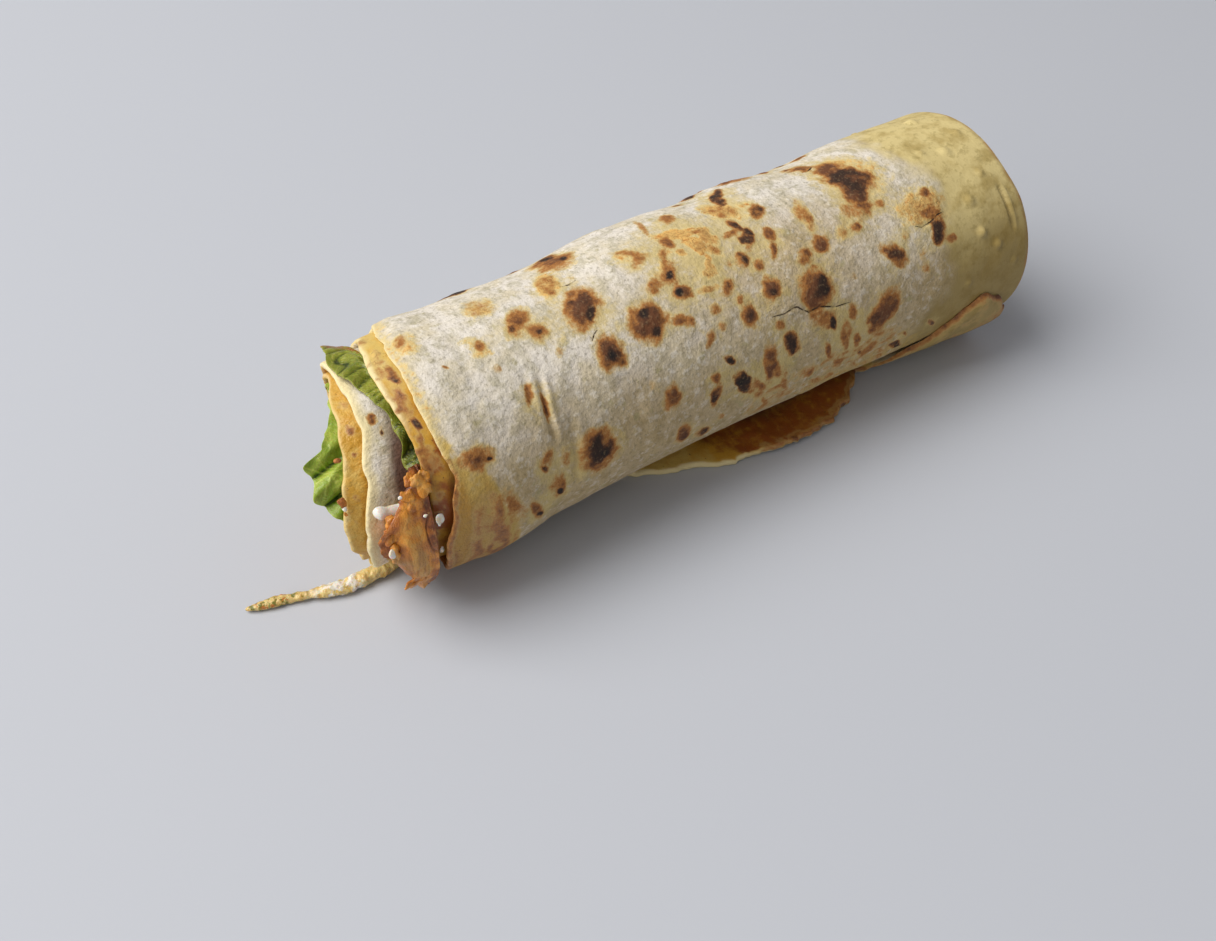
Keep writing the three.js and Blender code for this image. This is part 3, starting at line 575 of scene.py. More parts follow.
def marks_behind():
    """Marks of the same kinds over the back and the underside, drawn at random."""
    rng = np.random.default_rng(HIDDEN_SEED)
    found = []
    for _ in range(HIDDEN_MARKS):
        x = rng.uniform(*HIDDEN_REACH)
        angle = rng.uniform(*HIDDEN_SIDE)
        length = rng.choice(list(HIDDEN_LENGTHS), p=list(HIDDEN_LENGTHS.values()))
        brown = rng.uniform(0.35, 0.95)
        char = max(0, brown - 0.45) * rng.choice([0, 1.3])
        gold = rng.choice(list(HIDDEN_GOLD), p=list(HIDDEN_GOLD.values()))
        width = length * rng.uniform(0.45, 0.9)
        found.append((x, angle, length, width, rng.uniform(-90, 90), brown, char, gold))
        if char > 0.3 and length > 3:
            found.append((x + 1, angle + 1, length * 0.5, length * 0.35, 0, 1, 1, 0))
    return found


def toasting(x, angle, marks, place):
    """How brown, charred, golden, warm and blistered the bread is at each point."""
    brown, char, gold, blister = (np.zeros(np.shape(x)) for _ in range(4))
    cool = np.ones(np.shape(x))
    drift = [1.1 * lumps(place, 4.6, seed) + 0.75 * lumps(place, 2.0, seed + 1) for seed in (5, 7)]
    mottle = lumps(place, 2.6, 13)
    for mark_x, mark_angle, length, width, tilt, browned, charred, golden in marks:
        bent = min(1, width / DRIFT_WIDTH)
        across = x - mark_x + drift[0] * bent
        round_ = (angle - mark_angle) * ARC + drift[1] * bent
        cos, sin = math.cos(math.radians(tilt)), math.sin(math.radians(tilt))
        over_length = (across * cos + round_ * sin) / length
        over_width = (round_ * cos - across * sin) / max(width, NARROWEST)
        reach = np.hypot(over_length, over_width)
        level = fall(reach, 0.35, 1.6)
        brown = np.maximum(brown, level * browned * (1 + 0.22 * mottle))
        char = np.maximum(char, level * charred * (0.9 + 0.5 * mottle))
        gold = np.maximum(gold, fall(reach, 0.5, 1.8) * golden)
        cool = cool * (1 - 0.5 * max(browned, golden) * bell(np.hypot(across, round_), length + COOL_RING))
        dome = np.maximum(0, 1 - (reach / 1.25) ** 2) ** 2
        blister = np.maximum(blister, dome * (0.14 + 0.14 * width) * max(browned, golden * 0.6))
    return brown, char, gold, 1 - cool, blister


# ---- the outermost winding ---------------------------------------------------------------------------
# The part of the flatbread that wraps the sandwich: floury and matt, with browned blisters, cracks,
# creases where the roll was squeezed, and oil that has soaked through its folded end.
CRACKS = [
    [(1.5, 143), (6.4, 144), (10.8, 143), (14.7, 148), (18.9, 147.5), (24.8, 151), (30.5, 152)],
    [(61.1, 130), (63.8, 132), (67.8, 131), (71.4, 129), (74.5, 129)],
    [(-53.9, 122), (-52.3, 119.5), (-50.5, 118)],
    [(-51.9, 89), (-49, 90.2), (-46.7, 90)],
    [(40, 74.5), (43.5, 76.5), (47.5, 75)],
]
CRACK_LIP = 0.9  # from a crack's middle to its raised lips
# Creases run round the roll: (angle, x) pairs, depth, width, and the height of the fold on their right.
CREASES = [
    ([(124, -76.2), (138, -77.2)], 0.55, 0.9, 0.3),
    ([(128, -72.4), (141, -74.0), (155, -74.1)], 1.2, 0.8, 0.75),
    ([(148, -68.1), (184, -69.4)], 0.55, 1.2, 0.35),
    ([(96, -88), (120, -89.5)], 0.3, 1.4, 0.1),
    ([(150, -48), (182, -46)], 0.3, 1.6, 0.15),
    ([(128, 98.4), (150, 99.4)], 1.7, 0.55, 0.6),
    ([(20, 12), (48, 15)], 0.5, 1.2, 0.3),
    ([(-20, -58), (22, -61)], 0.6, 1.2, 0.35),
]
FOLD_BESIDE = 1.9  # widths of a crease from its bottom to the fold beside it
OIL_EDGE = [
    (-80, 62), (-20, 66), (30, 60), (60, 69), (87, 68), (105, 72.5), (114, 77), (129, 74.5), (157, 70),
    (170, 67), (184, 62), (200, 58), (285, 56),
]
# Thin skin blown up by steam at the oily end: x, angle, half size, height.
BUBBLES = [
    (85.8, 146, 2.2, 0.9), (91.6, 155, 2.0, 0.8), (85.2, 129, 2.4, 0.5), (94, 118, 1.8, 0.4),
    (88, 100, 2.5, 0.5), (98, 92, 2.0, 0.4), (80, 96, 1.6, 0.35), (92, 70, 2.6, 0.6), (84, 40, 2.2, 0.6),
    (96, 20, 2.4, 0.6), (86, -10, 2.0, 0.5), (76, 10, 1.8, 0.4), (99, 168, 2, 0.4), (79, 170, 1.8, 0.4),
]
OUTER_TURNS = np.concatenate([
    np.arange(FIRST_FULL_TURN, 400, 2.0), np.arange(400, 596, 1.2), np.arange(596, 640.1, 4.0),
])
OUTER_COLUMNS = 296
INNER_COLUMNS = 26
FEATHERED_TURNS = (400, 425, 490, 515)  # where its open rim is thinnest
OIL_FADE = (-5, 5)
WRINKLED_SIDE = (183, 200, 236, 250)  # angles of the wrinkles above the flap
WRINKLED_REACH = (6, 22, 60, 74)  # and their x
RESTING_SIDE = (0, 40)  # degrees from the underside over which the relief begins
END_PALER = 0.65  # how much less oil shows on the face of the folded end
END_LESS_BROWN = 0.55


def crack_field(x, angle):
    """Distance from the nearest crack, with opposite signs on its two sides and large beyond its ends."""
    nearest = np.full(np.shape(x), CRACK_FAR)
    for line in CRACKS:
        places, angles = np.array(line).T
        away = (angle - np.interp(x, places, angles)) * ARC
        middle, half = (places[0] + places[-1]) / 2, (places[-1] - places[0]) / 2
        taper = np.sqrt(np.clip(1 - ((x - middle) / half) ** 2, 0, 1))
        away = np.where(taper > 0, away / np.maximum(taper, 0.15), CRACK_FAR)
        nearest = np.where(np.abs(away) < np.abs(nearest), away, nearest)
    return np.clip(nearest, -CRACK_FAR, CRACK_FAR)


def crease_relief(x, angle):
    total = 0
    for line, depth, width, fold in CREASES:
        angles, places = np.array(line, float).T
        away = x - np.interp(angle, angles, places)
        ends = span(angle, angles[0] - 3, angles[0] + 4, angles[-1] - 4, angles[-1] + 3)
        total = total + (fold * bell(away - FOLD_BESIDE * width, width) - depth * bell(away, width)) * ends
    return total


def outer_relief(x, angle, place, oil, blister, crack):
    """How far the outermost winding stands out from its even form."""
    relief = 0.30 * lumps(place, 17, 1) + 0.22 * lumps(place, 7, 2)
    relief = relief + (1 - 0.6 * oil) * 0.14 * lumps(place, 2.8, 3)
    relief = relief + blister * (0.8 + 0.35 * lumps(place, 1.8, 6)) + crease_relief(x, angle)
    for bubble_x, bubble_angle, size, height in BUBBLES:
        reach = np.hypot(x - bubble_x, (angle - bubble_angle) * ARC) / size
        relief = relief + 1.5 * height * np.maximum(0, 1 - reach**2) ** 1.5
    lips = 0.35 * bell(crack - CRACK_LIP, 0.7) + 0.25 * bell(crack + CRACK_LIP, 0.7)
    relief = relief + lips - 0.5 * bell(crack, 0.45)
    return relief + wrinkling(x, angle) * 0.5 * np.sin(angle * 0.9 + 2.2 * lumps(place, 7, 12))


def flat_spots(x, y):
    """Points for noise that follows two values only."""
    return np.stack(np.broadcast_arrays(x, y, 0.0), axis=-1)


def wrinkling(x, angle):
    return span(angle, *WRINKLED_SIDE) * span(x, *WRINKLED_REACH)


def outer_winding():
    columns = section(np.linspace(0, 1, OUTER_COLUMNS), np.linspace(0, 1, INNER_COLUMNS) ** 0.7)
    turn = OUTER_TURNS[:, None] + 0 * columns[0][None, :]
    angle = turn - 360
    left, right = along(OPEN_EDGE, turn), along(FOLDED_EDGE, turn)
    x, offset = bread_section(turn, columns, left, right, 0.5 + 0.9 * span(turn, *FEATHERED_TURNS))
    place = bread_point(turn, x, offset)
    x = tear(x, left, place, 0.45, 5, 0.3, 6)
    outside = smooth(columns[1][None, :] + 0 * x, 0.2, 1) * np.minimum(1, (106.5 - x) / 2)
    end_face = np.maximum(0, columns[2])[None, :]
    brown, char, gold, warm, blister = toasting(x, angle, MARKS + marks_behind(), place)
    oil_creep = 3.6 * lumps(place, 9, 9) + 2.2 * lumps(place, 3, 10)
    oil = smooth(x - along(OIL_EDGE, angle) + oil_creep, *OIL_FADE) * (1 - END_PALER * end_face)
    crack = crack_field(x, angle)
    relief = outer_relief(x, angle, place, oil, blister, crack) * outside
    relief = relief * smooth(np.abs(angle + 90), *RESTING_SIDE) * smooth(np.abs(angle - 270), *RESTING_SIDE)

    # sauce has soaked through the front corner of the open end, in streaks round the roll
    patch_edge = x + 0.13 * (160 - angle) + 1.6 * lumps(place, 5, 14)
    patch = smooth(angle + 9 * lumps(place, 6, 15), 134, 182) * fall(patch_edge, -103, -90)
    streaks = lumps(flat_spots(x, 0.2 * angle), 1.7, 18)
    browned = smooth(angle + 9 * lumps(place, 5, 19), 150, 186) * smooth(x + 0.1 * (angle - 160), -103, -98)
    browned = browned * fall(x + 2 * lumps(place, 5, 20), -92, -84)
    # the rim is browned in front, and so are the wrinkles above the flap
    browned_rim = 0.5 * fall(x - left, 0.4, 2.2) * smooth(angle, 138, 152)
    fringe = smooth(angle + 5 * lumps(place, 4, 33), 171, 182) * fall(angle, 196, 216)
    fringe = fringe * smooth(x + 4 * lumps(place, 6, 34), -14, 0) * fall(x, 48, 62)
    fringe = fringe * (0.2 + 0.3 * lumps(place * (0.5, 1, 1), 1.6, 35))
    stained = outside * browned * (0.36 + 0.34 * streaks)
    toast = np.maximum.reduce([brown, stained, browned_rim, outside * fringe])
    near_rim = fall(x - left + lumps(place, 3, 16), 0.5, 4.5)
    # the flour thins out towards the front, at the rim and midway along the top; on the shaded front the
    # darker, warmer tan is also painted shade
    bare = np.maximum.reduce([
        0.95 * smooth(angle + 10 * lumps(place, 14, 17), 118, 166), 0.5 * near_rim,
        0.8 * bell(x - 12, 46) * smooth(angle, 84, 116),
    ])
    soak = 0.6 * patch * (1 + 0.55 * streaks) + 0.12 * browned + 0.14 * wrinkling(x, angle)
    soak = soak + 0.25 * near_rim * smooth(angle, 100, 150)
    fields = bread_fields(
        turn, offset, toast=toast, char=char, gold=np.maximum(gold, 0.42 * near_rim), warm=warm, oil=oil,
        crack=crack, bare=bare, soak=outside * soak, gloom=outside * 0.13 * patch,
        rim=0.8 * fall(x - left, 0.2, 1.1) * fall(angle, 120, 150),
        fold=(1 - END_LESS_BROWN * end_face) * fall(right - x, 0.4, 2.6),
    )
    return grid_mesh(bread_point(turn, x, offset + relief), fields)


def flatbread_finish():
    """Floury, toasted flatbread. Its patterns follow the flat sheet, and are drawn out round the roll."""
    bread = Finish("floury_toasted_flatbread", (232, 224, 212))
    rise, times, grain = bread.rise, bread.times, bread.grain
    corner = bread.add("ShaderNodeSeparateXYZ")
    bread.put(corner.inputs[0], bread.place)
    sheet = bread.add("ShaderNodeCombineXYZ")
    bread.put(sheet.inputs["X"], corner.outputs["X"])
    bread.put(sheet.inputs["Y"], bread.field("around"))
    bread.put(sheet.inputs["Z"], bread.field("through"))
    bread.place = sheet.outputs[0]
    drawn = (1, 0.85, 1)
    clouds = grain(3.8, detail=4, stretch=drawn)
    specks = grain(1.15, detail=2, roughness=0.55)
    dust = grain(2.0)
    bare = bread.field("bare")
    oil = bread.field("oil")

    # the crumb and its flour, tan where the flour is thin and, on the front, with painted shade
    bread.lay((220, 208, 182), rise(grain(13), 0.40, 0.62))
    bread.lay((182, 157, 110), times(bare, 0.9))
    cloudy = bread.mixed((184, 176, 150), (164, 140, 92), bare)
    bread.lay(cloudy, times(rise(clouds, 0.46, 0.64), 0.65))
    bread.lay((172, 162, 112), times(rise(grain(5.2), 0.6, 0.72), 0.6))
    bread.lay((128, 118, 88), times(rise(specks, 0.5, 0.76), 0.54))
    bread.lay((240, 232, 218), times(rise(dust, 0.5, 0.7), bread.between(0.7, 0.35, bare)))

    # skin that the oil has soaked through, darker on the front with painted shade
    skin = bread.mixed((222, 202, 140), (176, 152, 86), times(rise(grain(7, detail=4), 0.42, 0.68), 0.75))
    skin = bread.mixed(skin, (140, 122, 62), times(rise(dust, 0.5, 0.7), 0.4))
    skin = bread.mixed(skin, (136, 108, 38), times(bare, 0.8))
    bread.lay(skin, oil)

    # warm bread round the marks, and golden crackled blisters
    rough = bread.swing(grain(2.4, detail=4, roughness=0.62), 1.1)
    bread.lay((208, 185, 118), times(rise(bread.frayed("warm", rough, 0.04, 0.3), 0.14, 0.6), 0.74))
    gold = bread.frayed("gold", bread.swing(dust, 1.6), 0.02, 0.16)
    rich = rise(gold, 0.36, 0.8)
    bread.lay((222, 200, 138), times(rise(gold, 0.06, 0.5), 0.85))
    bread.lay((228, 180, 102), rich)
    bread.lay((188, 118, 46), times(rise(grain(2.6, detail=5, twist=0.8), 0.48, 0.62), rich, 0.8))
    crackle = bread.math("ABSOLUTE", bread.math("SUBTRACT", grain(4.5, detail=2), 0.5))
    crinkle = times(rise(crackle, 0.016, 0.0), rich)
    bread.lay((150, 92, 40), times(crinkle, 0.14))

    # sauce, from yellow through orange to brown, duller where the flour is thin and where painted shade falls
    # on the front
    soak = bread.frayed("soak", bread.swing(grain(3.4, detail=5, stretch=drawn), 0.8), 0.0, 0.2)
    bread.lay((216, 184, 98), rise(soak, 0.02, 0.3))
    bread.lay((207, 155, 50), rise(soak, 0.28, 0.66))
    bread.lay((152, 78, 22), rise(soak, 0.68, 1.0))
    bread.lay((150, 112, 50), times(bare, rise(soak, 0.02, 0.35), 0.6))
    bread.lay((110, 60, 26), times(rise(grain(1.3, detail=2), 0.69, 0.74), rise(soak, 0.1, 0.4), 0.8))

    # rims and the folded edge
    bread.lay((238, 220, 166), times(bread.field("rim"), 0.95))
    browning = bread.between(0.22, 0.75, rise(grain(5, detail=4), 0.44, 0.6))
    bread.lay((190, 122, 50), times(bread.field("fold"), browning))

    # toast and char, with ash and flour on them
    toast = bread.frayed("toast", rough, 0.02, 0.2)
    char = bread.frayed("char", rough, 0.04, 0.25)
    bread.lay((200, 168, 104), times(rise(toast, -0.05, 0.3), 0.6))
    bread.lay((172, 114, 54), rise(toast, 0.16, 0.52))
    bread.lay((108, 64, 34), rise(toast, 0.42, 0.82))
    bread.lay((128, 90, 58), times(rise(grain(2.0, detail=4), 0.5, 0.64), rise(toast, 0.62, 0.95), 0.45))
    bread.lay((56, 34, 20), rise(char, 0.18, 0.66))
    bread.lay((26, 18, 13), rise(char, 0.6, 1.05))
    bread.lay((176, 146, 104), times(rise(specks, 0.54, 0.7), rise(toast, 0.3, 0.6), 0.24))

    # cracks with painted shade in them, and the deep places that the filling has stained, darkened further
    # with painted shade
    crack = rise(bread.math("ABSOLUTE", bread.field("crack")), 0.36, 0.08)
    crack = times(crack, bread.between(0.25, 1.0, rise(dust, 0.38, 0.56)))
    bread.lay((74, 54, 38), crack)
    bread.lay((96, 58, 42), rise(bread.field("gloom"), 0.0, 0.7))
    bread.lay((48, 22, 14), rise(bread.field("gloom"), 0.6, 1.1))

    gloss = bread.math("MAXIMUM", times(oil, 0.5), rise(soak, 0.2, 0.7))
    bread.set(roughness=bread.between(0.88, 0.40, gloss))
    height = bread.plus(bread.plus(times(specks, 0.35), dust), times(clouds, 1.6))
    height = times(height, bread.between(0.75, 0.2, oil))
    lines = bread.math("MAXIMUM", crack, times(crinkle, 0.3))
    bread.bumps(bread.math("SUBTRACT", height, times(lines, 0.8)), 0.5)
    return bread


flatbread = flatbread_finish()
serve("flatbread_outer_winding", outer_winding(), flatbread, "flatbread")


# ---- the inner windings ------------------------------------------------------------------------------
# The same sheet, wound on inside the outermost winding. At the open end each winding stands out beyond
# the one outside it like a telescope: first a toasted, oily band, then a floury one, then an orange one.
INNER_TURNS = np.arange(640.6, TURN_END + 0.1, 2.6)
INNER_SHARES = np.concatenate([np.linspace(0, 0.13, 34), np.linspace(0.2, 0.87, 6), np.linspace(0.91, 1, 9)])
# Marks on the part that stands out: turn, x, half size round the roll, half size along it, brown, char, gold.
INNER_MARKS = [
    (818, -106.5, 2.6, 1.4, 0.7, 0, 0.8), (822, -106.4, 0.8, 0.6, 0.9, 0.5, 0),
    (845, -107.4, 1.5, 0.7, 1, 0.6, 0.3), (852, -108.2, 2.2, 1.0, 0.5, 0, 0.6),
    (785, -107, 3, 2, 0.3, 0, 0.7), (866, -108.6, 0.7, 0.5, 0.8, 0.3, 0), (802, -106.5, 2, 1, 0.3, 0, 0.5),
    (880, -108.5, 1.2, 0.6, 0.5, 0, 0.3), (1190, -115.8, 1.5, 1.3, 0.75, 0.15, 0.4),
    (1199, -114.6, 0.9, 0.45, 0.9, 0.9, 0), (1152, -114.6, 2.5, 1.5, 0.2, 0, 0.4),
    (1240, -121.5, 0.6, 1.2, 0.4, 0, 0.2), (1548, -121.4, 1.6, 1.3, 0.7, 0.05, 0.3),
    (1530, -119.5, 2.2, 1.2, 0.35, 0, 0.4), (1590, -127, 1.4, 1.0, 0.4, 0, 0.3),
    (1563, -123, 0.8, 0.6, 0.5, 0, 0.2), (1606, -129, 1, 0.5, 0.5, 0.1, 0.2),
    (1100, -110, 3, 2, 0.6, 0.1, 0.3), (1120, -113, 2, 1.2, 0.5, 0, 0.4), (740, -103, 3, 2, 0.5, 0.1, 0.5),
    (1385, -117, 3, 1.6, 0.6, 0.1, 0.2), (1460, -114, 2.4, 1.8, 0.55, 0, 0.5),
    (1000, -111, 3, 2, 0.5, 0, 0.3),
]
INNER_ARC = 0.55  # length of one degree round the inner windings
SECOND_WINDING = (735, 770, 1010, 1050)
THIRD_WINDING = (1060, 1110, 1360, 1400)
FOURTH_WINDING = (1400, 1440)
POCKET_TURNS = (1170, 1215, 1275, 1300)  # where the third winding is hollow, above the chicken, and painted shade darkens it
CREVICE_TURNS = (858, 880, 935, 960)  # where the chicken hides the second winding, and painted shade darkens its crevice
THIRD_CREASE = 1204  # turn of a crease across the third winding


def inner_marks(x, turn, outside, warp):
    """How brown, charred, golden and blistered the windings are where they stand out."""
    brown, char, gold, blister = (np.zeros(x.shape) for _ in range(4))
    for mark_turn, mark_x, round_, length, browned, charred, golden in INNER_MARKS:
        over_round = (turn - mark_turn) * INNER_ARC / round_ + 0.4 * warp[0]
        reach = np.hypot(over_round, (x - mark_x) / length + 0.4 * warp[1])
        level = fall(reach, 0.4, 1.5) * outside
        brown = np.maximum(brown, level * browned)
        char = np.maximum(char, level * charred)
        gold = np.maximum(gold, fall(reach, 0.5, 1.9) * golden * outside)
        blister = np.maximum(blister, 0.3 * np.maximum(0, 1 - reach**2))
    return brown, char, gold, blister


def inner_windings():
    columns = section(INNER_SHARES, INNER_SHARES)
    turn = INNER_TURNS[:, None] + 0 * columns[0][None, :]
    left, right = along(OPEN_EDGE, turn), along(FOLDED_EDGE, turn)
    second, third = span(turn, *SECOND_WINDING), span(turn, *THIRD_WINDING)
    fourth = smooth(turn, *FOURTH_WINDING)
    x, offset = bread_section(turn, columns, left, right, 0.8 * second + 0.3 * third + 0.7 * fourth)
    offset[-1] *= 0
    offset[-2] *= 0.8
    place = bread_point(turn, x, offset)
    x = tear(x, left, place, 0.4, 6, 0.25, 5)
    outside = smooth(columns[1][None, :] + 0 * x, -0.3, 0.6)
    end_face = np.maximum(0, columns[2])[None, :]
    free = fall(x - along(OPEN_EDGE, turn - 360), -2.5, 0.5)
    from_rim = x - left + 0.5 * lumps(place, 2.5, 17)
    brown, char, gold, blister = inner_marks(x, turn, outside, [lumps(place, 2.0, 5), lumps(place, 2.0, 7)])
    gold = np.maximum(gold, second * fall(turn, 830, 870) * (0.5 + 0.3 * lumps(place, 4, 8)) * outside)
    spotty = 0.16 + 0.46 * lumps(place, 1.5, 18) + 0.2 * lumps(place, 4, 19)
    brown = np.maximum(brown, second * outside * free * spotty * smooth(turn, 788, 815))
    soak = np.maximum.reduce([
        second * blend(0.28, 0.84, smooth(turn, 798, 862)) * (1 + 0.4 * lumps(place, 4, 9)),
        third * 0.5 * smooth(turn, 1228, 1262) * smooth(from_rim, 3, 6),
        fourth * (0.58 + 0.12 * lumps(place, 6, 11)),
    ])
    soak = blend(0.35 + 0.3 * lumps(place, 8, 12), soak, outside) * fall(x, 88, 98)
    pale = third * 0.9 * fall(from_rim, 1.2, 4.0) + fourth * 0.5 * fall(from_rim, 0.1, 0.8)
    pale = pale + second * 0.9 * fall(from_rim, 0.4, 1.6) * fall(turn, 835, 850)
    # painted shade: the hollow of the third winding is tinted and darkened towards the chicken, and the
    # second winding is darkened in its crevice
    pocket = span(turn, *POCKET_TURNS) * smooth(from_rim, 3.2, 5.2) * outside
    deep = smooth(x - blend(-113.5, -117.5, smooth(turn, 1195, 1235)), -2.5, 2.0)
    crevice = span(turn, *CREVICE_TURNS) * smooth(from_rim, 4.7, 6.2) * outside
    relief = 0.10 * lumps(place, 6, 2)
    relief = relief + free * (0.16 * lumps(place, 4, 3) + blister + 0.06 * lumps(place, 1.6, 4))
    relief = relief - 0.5 * bell((turn - THIRD_CREASE) * INNER_ARC, 0.45) * fall(x, -118.5, -116)
    fields = bread_fields(
        turn, offset, toast=brown, char=char, gold=gold, soak=soak, rim=pale * outside,
        oil=np.maximum(0.8 * second * outside, smooth(x, 84, 96) * (1 - END_PALER * end_face)),
        bare=0.45 * third * pocket, gloom=np.maximum(pocket * blend(0.05, 0.6, deep), crevice * 0.45),
        fold=(1 - END_LESS_BROWN * end_face) * fall(right - x, 0.6, 3.5),
    )
    return grid_mesh(bread_point(turn, x, offset + relief * outside), fields)


serve("flatbread_inner_windings", inner_windings(), flatbread, "flatbread")

# ---- the flap and the fold ---------------------------------------------------------------------------
# The sheet's free edge comes out from under the roll and lies on the table, its inner face up and soaked
# with sauce towards the right. A small lobe of it hugs the folded end. The last of the sheet is wound
# tighter at the right, where the roll was turned in and shut.
FLAP_ROWS = np.concatenate([[0, 0.0005, 0.003, 0.008, 0.016, 0.028], np.linspace(0.05, 1, 40)])
FLAP_SHARES = np.linspace(0, 1, 156)
FLAP_ROUND = 1.1
LOBE_ROUND = 5.0
LOBE_FROM = (54, 68)  # x over which the flap's edge turns into the lobe's sloping one
COIL_TURNS = np.arange(COIL_START, COIL_END + 0.1, 5.0)
COIL_SHARES = np.concatenate([np.linspace(0, 0.6, 7), np.linspace(0.68, 1, 16)])
COIL_LEFT = 66.0
COIL_THINNER = 0.04
COIL_BREAD = 0.96  # of the sheet's thickness, to stay clear of the windings round it


def flap_edge(x):
    """The turn at which the flap ends, for a row of x: a free curve, finely torn where it is soaked."""
    row = flat_spots(x, 0)
    ragged = 1.0 * lumps(row, 5, 2) + 0.5 * lumps(row, 1.8, 3)
    ragged = ragged + 1.4 * lumps(row, 0.8, 28) * span(x, -16, 4, 52, 60)
    return along(FREE_EDGE, x) + ragged * smooth(np.abs(x - 8), 60, 35)


def flap():
    columns = section(FLAP_SHARES, FLAP_SHARES)
    left, right = float(along(OPEN_EDGE, UNDER)), float(along(FOLDED_EDGE, UNDER))
    flat_x = blend(left, right, columns[0])
    edge = flap_edge(flat_x)[None, :]
    turn = blend(edge, FIRST_FULL_TURN - 0.05, FLAP_ROWS[:, None])
    x, offset = bread_section(turn, columns, left, right)
    from_edge = (turn - edge) * ARC
    lobe = smooth(flat_x, *LOBE_FROM)[None, :]
    round_off = blend(FLAP_ROUND, LOBE_ROUND, lobe)
    thick = np.sqrt(np.clip(1 - (1 - np.clip(from_edge / round_off, 0, 1)) ** 2, 0, 1))
    thick[-1] = 0
    sloping = blend(np.minimum(offset, -BREAD / 2) - 0.5, offset, thick)
    offset = blend(offset * thick, sloping, lobe)
    place = bread_point(turn, x, offset)
    hugging = smooth(x, *HUG)
    inner = smooth(-columns[1][None, :] + 0 * x, 0.2, 1)
    upper = inner * (1 - hugging)
    outer = smooth(columns[1][None, :] + 0 * x, 0.2, 1)
    shown = thick * fall(turn, 252, 264)
    bits = np.maximum(0, lumps(place, 2.4, 21) - 0.25) * 1.6 + 0.5 * lumps(place, 5.5, 22)
    relief = shown * upper * (0.42 * bits * smooth(x, -22, 0) + 0.15 * lumps(place, 3.5, 23))
    relief = relief - shown * hugging * outer * 0.14 * lumps(place, 4, 24)
    soaked = smooth(x + 5 * lumps(place, 10, 25), -26, 2) * (1 - hugging)
    cut = fall(from_edge + 0.5 * lumps(place, 3, 26), 0.5, 1.4)
    crust = (0.42 + 0.5 * lumps(place, 1.5, 29)) * fall(from_edge, 0.6, 4.5)
    crusty = smooth(x + 4 * lumps(place, 5, 31), -8, 14)
    lobe_toast = 0.1 + 0.16 * lumps(place, 4, 27) + 0.42 * fall(from_edge, 0.3, 1.7) + 0.2 * smooth(x, 88, 97)
    # painted shade on the soaked face next to the roll; the outer face, seen in the lobe, is tinted tan,
    # partly painted shade
    fields = bread_fields(
        turn, offset, gold=upper * 0.5, bare=0.95 * outer,
        toast=upper * crusty * crust + hugging * outer * lobe_toast,
        gloom=upper * soaked * 0.6 * smooth(turn + 5 * lumps(place, 5, 30), 230, 250),
        oil=np.maximum(outer * hugging * smooth(x, 60, 70), inner * soaked),
        soak=upper * (0.36 + 0.6 * soaked) * (1 - 0.85 * cut * (1 - crusty)),
        rim=cut * (1 - crusty),
        fold=np.maximum(fall(right - x, 0.4, 2.4), hugging * outer * fall(from_edge, 0.3, 1.4)),
    )
    return grid_mesh(bread_point(turn, x, offset - relief), fields)


def fold():
    columns = section(COIL_SHARES, COIL_SHARES)
    turn = COIL_TURNS[:, None] + 0 * columns[0][None, :]
    right = along(FOLDED_EDGE, turn)
    x, offset = bread_section(turn, columns, COIL_LEFT, right - COIL_THINNER)
    offset = offset * COIL_BREAD
    offset[0] *= 0
    offset[-1] *= 0
    place = bread_point(turn, x, offset)
    end_face = np.maximum(0, columns[2])[None, :]
    fields = bread_fields(
        turn, offset, toast=0.35 * np.maximum(0, lumps(place, 6, 31)), gold=0.3 * (1 - end_face),
        oil=1 - END_PALER * end_face, soak=(0.15 + 0.2 * lumps(place, 5, 32)) * (1 - end_face),
        fold=(1 - END_LESS_BROWN * end_face) * fall(right - x, 0.6, 3.5),
    )
    return grid_mesh(place, fields)


serve("flatbread_flap", flap(), flatbread, "flatbread")
serve("flatbread_fold", fold(), flatbread, "flatbread")

# ---- lettuce -----------------------------------------------------------------------------------------
# Two leaves. One lies between the second and third windings, over the top and down the front. The other
# lines the innermost winding and stands out of the open end, where its frilled edge curls over.
SECOND, THIRD, FOURTH = 720, 1080, 1440  # the turn at which each winding begins
LEAF = 0.9
LEAF_RIM = 0.02  # share of a leaf over which its edges thin out
TOUCH = 0.7  # room for the bread's relief between it and the filling
FILLED_TO = 48.0  # x at which the filling ends inside the roll
OUTER_LEAF_OPEN_EDGE = [
    (44, -113.8), (50, -115.4), (58, -116.6), (68, -117.6), (78, -117.9), (89, -115.8), (104, -113.6),
    (116, -111.9), (127, -112.4), (144, -113.4),
]
CORE_LEAF_OPEN_EDGE = [
    (20, -116), (54, -118.6), (81, -122.4), (100, -127), (109, -129.8), (117, -135.9), (129, -134.6),
    (141, -137.2), (154, -134.6), (168, -131.9), (182, -129.5), (205, -127),
]
BROWNED_ANGLES = (44, 47, 52, 60)  # where the outer leaf's edge has gone brown
VEIN_SPACING = 7.5
RAY_SPACING = 42
BROWNED_LEAF = (158, 104, 40)


def inside_of(winding, angle):
    return along(DEPTH_ALONG, winding + angle) + BREAD / 2 + TOUCH


def outside_of(winding, angle):
    return along(DEPTH_ALONG, winding + angle) - BREAD / 2 - TOUCH


def two_faced(rows, columns):
    """Shares u across and v along for a grid that goes out on one face of a leaf and back on the other,
    with 1 or -1 for its face."""
    out = np.linspace(0, 1, columns)
    v = np.concatenate([out, out[-2::-1]])[None, :]
    face = np.concatenate([np.ones(columns), -np.ones(columns - 1)])[None, :]
    return np.broadcast_arrays(np.linspace(0, 1, rows)[:, None], v, face)


